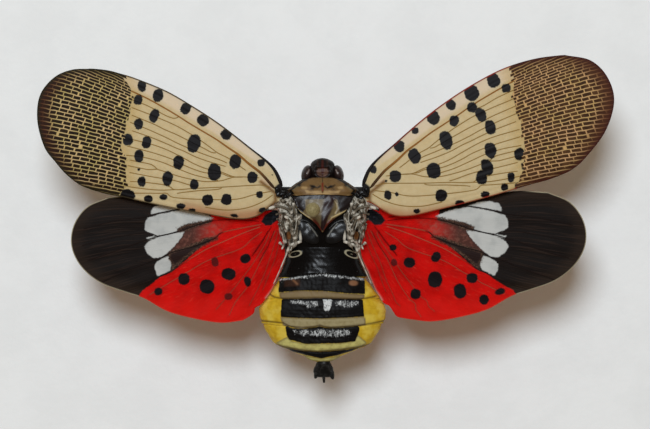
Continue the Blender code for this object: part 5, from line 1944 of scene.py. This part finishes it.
@dataclass
class Stand:
    """The specimen's pin, and the flat base that holds it."""

    pin_at: Point = (-0.85, 3.15)
    pin_radius: float = 0.25
    pin_foot: float = 2.9
    pin_top: float = 21.1
    head_radius: float = 0.65
    length: float = 26.0
    width: float = 9.6
    height: float = 2.6
    corner: float = 4.2

    def pin(self) -> None:
        """A drawn steel pin with a rolled round head."""
        x, y = self.pin_at
        levels = np.linspace(self.pin_foot, self.pin_top, 60)
        path = np.stack([0 * levels + x, 0 * levels + y, levels], -1)
        shell = Shell("shade")
        shell.loft(tube_rings(path, self.pin_radius, 24, (0, 1, 0)), {"shade": 0.5})
        angle = np.linspace(-math.pi / 2 + 0.02, math.pi / 2 - 0.02, 48)
        ball = np.stack([0 * angle + x, 0 * angle + y, self.pin_top + self.head_radius * np.sin(angle)], -1)
        shell.loft(tube_rings(ball, self.head_radius * np.cos(angle), 64, (0, 1, 0)), {"shade": 0.5})
        p = Paint("pin_metal")
        grain = p.noise(5.0, 3.0)
        colour = p.mix(grain.rise(0.35, 0.7), (140, 128, 88), (118, 106, 70))
        metal = p.finish(colour, 0.55 + grain * 0.15, p.bump(grain, 0.02, 0.5), Metallic=0.1,
                         Specular_IOR_Level=0.3)
        shell.build("pin", metal, "pin", "stand_pin")

    def plate(self) -> None:
        """The base: a rounded plate with eased edges, a shallow top recess and a round socket for the pin."""
        turns = np.linspace(0, 2 * math.pi, 240, endpoint=False)
        top = self.height
        profile = ((0.25, 0.0), (0.0, 0.25), (0.0, top - 0.35), (0.1, top - 0.1), (0.35, top), (0.9, top),
                   (0.98, top - 0.08), (1.3, top - 0.1), (3.9, top - 0.1))
        rings = []
        for inset, level in profile:
            corner = max(self.corner - inset, 0.3)
            half = np.array((self.length / 2 - inset - corner, self.width / 2 - inset - corner))
            half = np.maximum(half, 0.05)
            ring = np.stack([np.cos(turns), np.sin(turns)], -1)
            places = np.sign(ring) * half + ring * corner
            rings.append(np.column_stack([places, np.full(len(turns), level)]))
        shell = Shell("shade")
        shell.loft(np.array(rings), {"shade": 0.5})
        x, y = self.pin_at
        levels = np.array((top - 0.6, top - 0.02, top + 0.14, top + 0.2, top + 0.2))
        reach = np.array((1.1, 1.1, 1.05, 0.9, 0.3))
        collar = np.stack([x + reach[:, None] * np.cos(turns), y + reach[:, None] * np.sin(turns),
                           levels[:, None] + 0 * turns], -1)
        shell.loft(collar, {"shade": 0.2})
        p = Paint("base_board")
        grain = p.noise(0.6, 4.0)
        fine = p.noise(6.0, 2.0)
        colour = p.mix(grain.rise(0.35, 0.7), (214, 213, 208), (205, 203, 197))
        colour = p.mix(p.field("shade").rise(0.4, 0.3), colour, (150, 140, 110))
        board = p.finish(colour, 0.6 + fine * 0.15, p.bump(fine, 0.02, 0.5))
        shell.build("base_plate", board, "base", "stand_base")

    def make(self) -> None:
        """Builds the stand."""
        self.pin()
        self.plate()


@dataclass
class Studio:
    """A pale floor, a soft lamp, the sky and the camera."""

    floor_size: float = 1.2
    lamp_place: tuple = (-0.03, 0.115, 0.42)
    lamp_aim: tuple = (0.0, 0.003, 0.01)
    lamp_size: float = 0.13
    lamp_power: float = 1.34
    lamp_colour: tuple = (0.92, 1.0, 1.08)
    sky: float = 0.2
    sky_colour: tuple = (1.3, 1.0, 0.72, 1.0)

    def floor(self) -> None:
        """A pale board with a faint fibrous surface."""
        mesh = bpy.data.meshes.new("floor")
        half = self.floor_size / 2
        corners = [(-half, -half, 0), (half, -half, 0), (half, half, 0), (-half, half, 0)]
        mesh.from_pydata(corners, [], [(0, 1, 2, 3)])
        p = Paint("floor_board")
        cloud = p.noise(0.16, 4.0, 0.6)
        fine = p.noise(0.9, 3.0, 0.6)
        colour = p.mix(cloud.rise(0.4, 0.65), (238, 240, 239), (234, 236, 235))
        mesh.materials.append(p.finish(colour, 0.75, p.bump(cloud * 0.6 + fine * 0.4, 0.25, 0.5)))
        board = bpy.data.objects.new("floor", mesh)
        bpy.context.scene.collection.objects.link(board)

    def light(self) -> None:
        """A round lamp above, turned to the specimen, and an even sky."""
        lamp = bpy.data.lights.new("window", "AREA")
        lamp.shape = "DISK"
        lamp.size = self.lamp_size
        lamp.energy = self.lamp_power
        lamp.color = self.lamp_colour
        item = bpy.data.objects.new("window", lamp)
        item.location = self.lamp_place
        x, y, z = np.array(self.lamp_aim) - np.array(self.lamp_place)
        item.rotation_euler = (math.atan2(math.hypot(x, y), -z), 0.0, math.atan2(-x, y))
        bpy.context.scene.collection.objects.link(item)
        world = bpy.data.worlds.new("sky")
        world.use_nodes = True
        inputs = world.node_tree.nodes["Background"].inputs
        inputs[0].default_value = self.sky_colour
        inputs[1].default_value = self.sky
        bpy.context.scene.world = world
        bpy.context.scene.view_settings.view_transform = "Standard"

    def camera(self) -> None:
        """The camera straight above, with the picture's view."""
        data = bpy.data.cameras.new("camera")
        data.lens = VIEW.lens
        data.clip_start = 0.01
        item = bpy.data.objects.new("camera", data)
        item.location = (VIEW.centre[0] * MM, VIEW.centre[1] * MM, VIEW.height * MM)
        bpy.context.scene.collection.objects.link(item)
        bpy.context.scene.camera = item

    def make(self) -> None:
        """Sets the studio."""
        self.floor()
        self.light()
        self.camera()


def main() -> None:
    """Builds the specimen, its stand and the studio."""
    logging.basicConfig(level=logging.INFO, format="%(message)s")
    Studio().make()
    named = {"brown": BROWN, "olive": OLIVE, "black": BLACK, "waxy": WAXY, "gloss": GLOSS, "amber": AMBER,
             "golden": GOLDEN, "eye": FACETS}
    finishes = {name: finish.paint() for name, finish in named.items()}
    for side in Side:
        Forewing(side).make()
        Hindwing(side).make()
    Trunk().make()
    Thorax(finishes=finishes).make()
    Head(finishes=finishes).make()
    Legs(finishes=finishes).make()
    Tail(finishes=finishes).make()
    Stand().make()


if __name__ == "__main__":
    main()
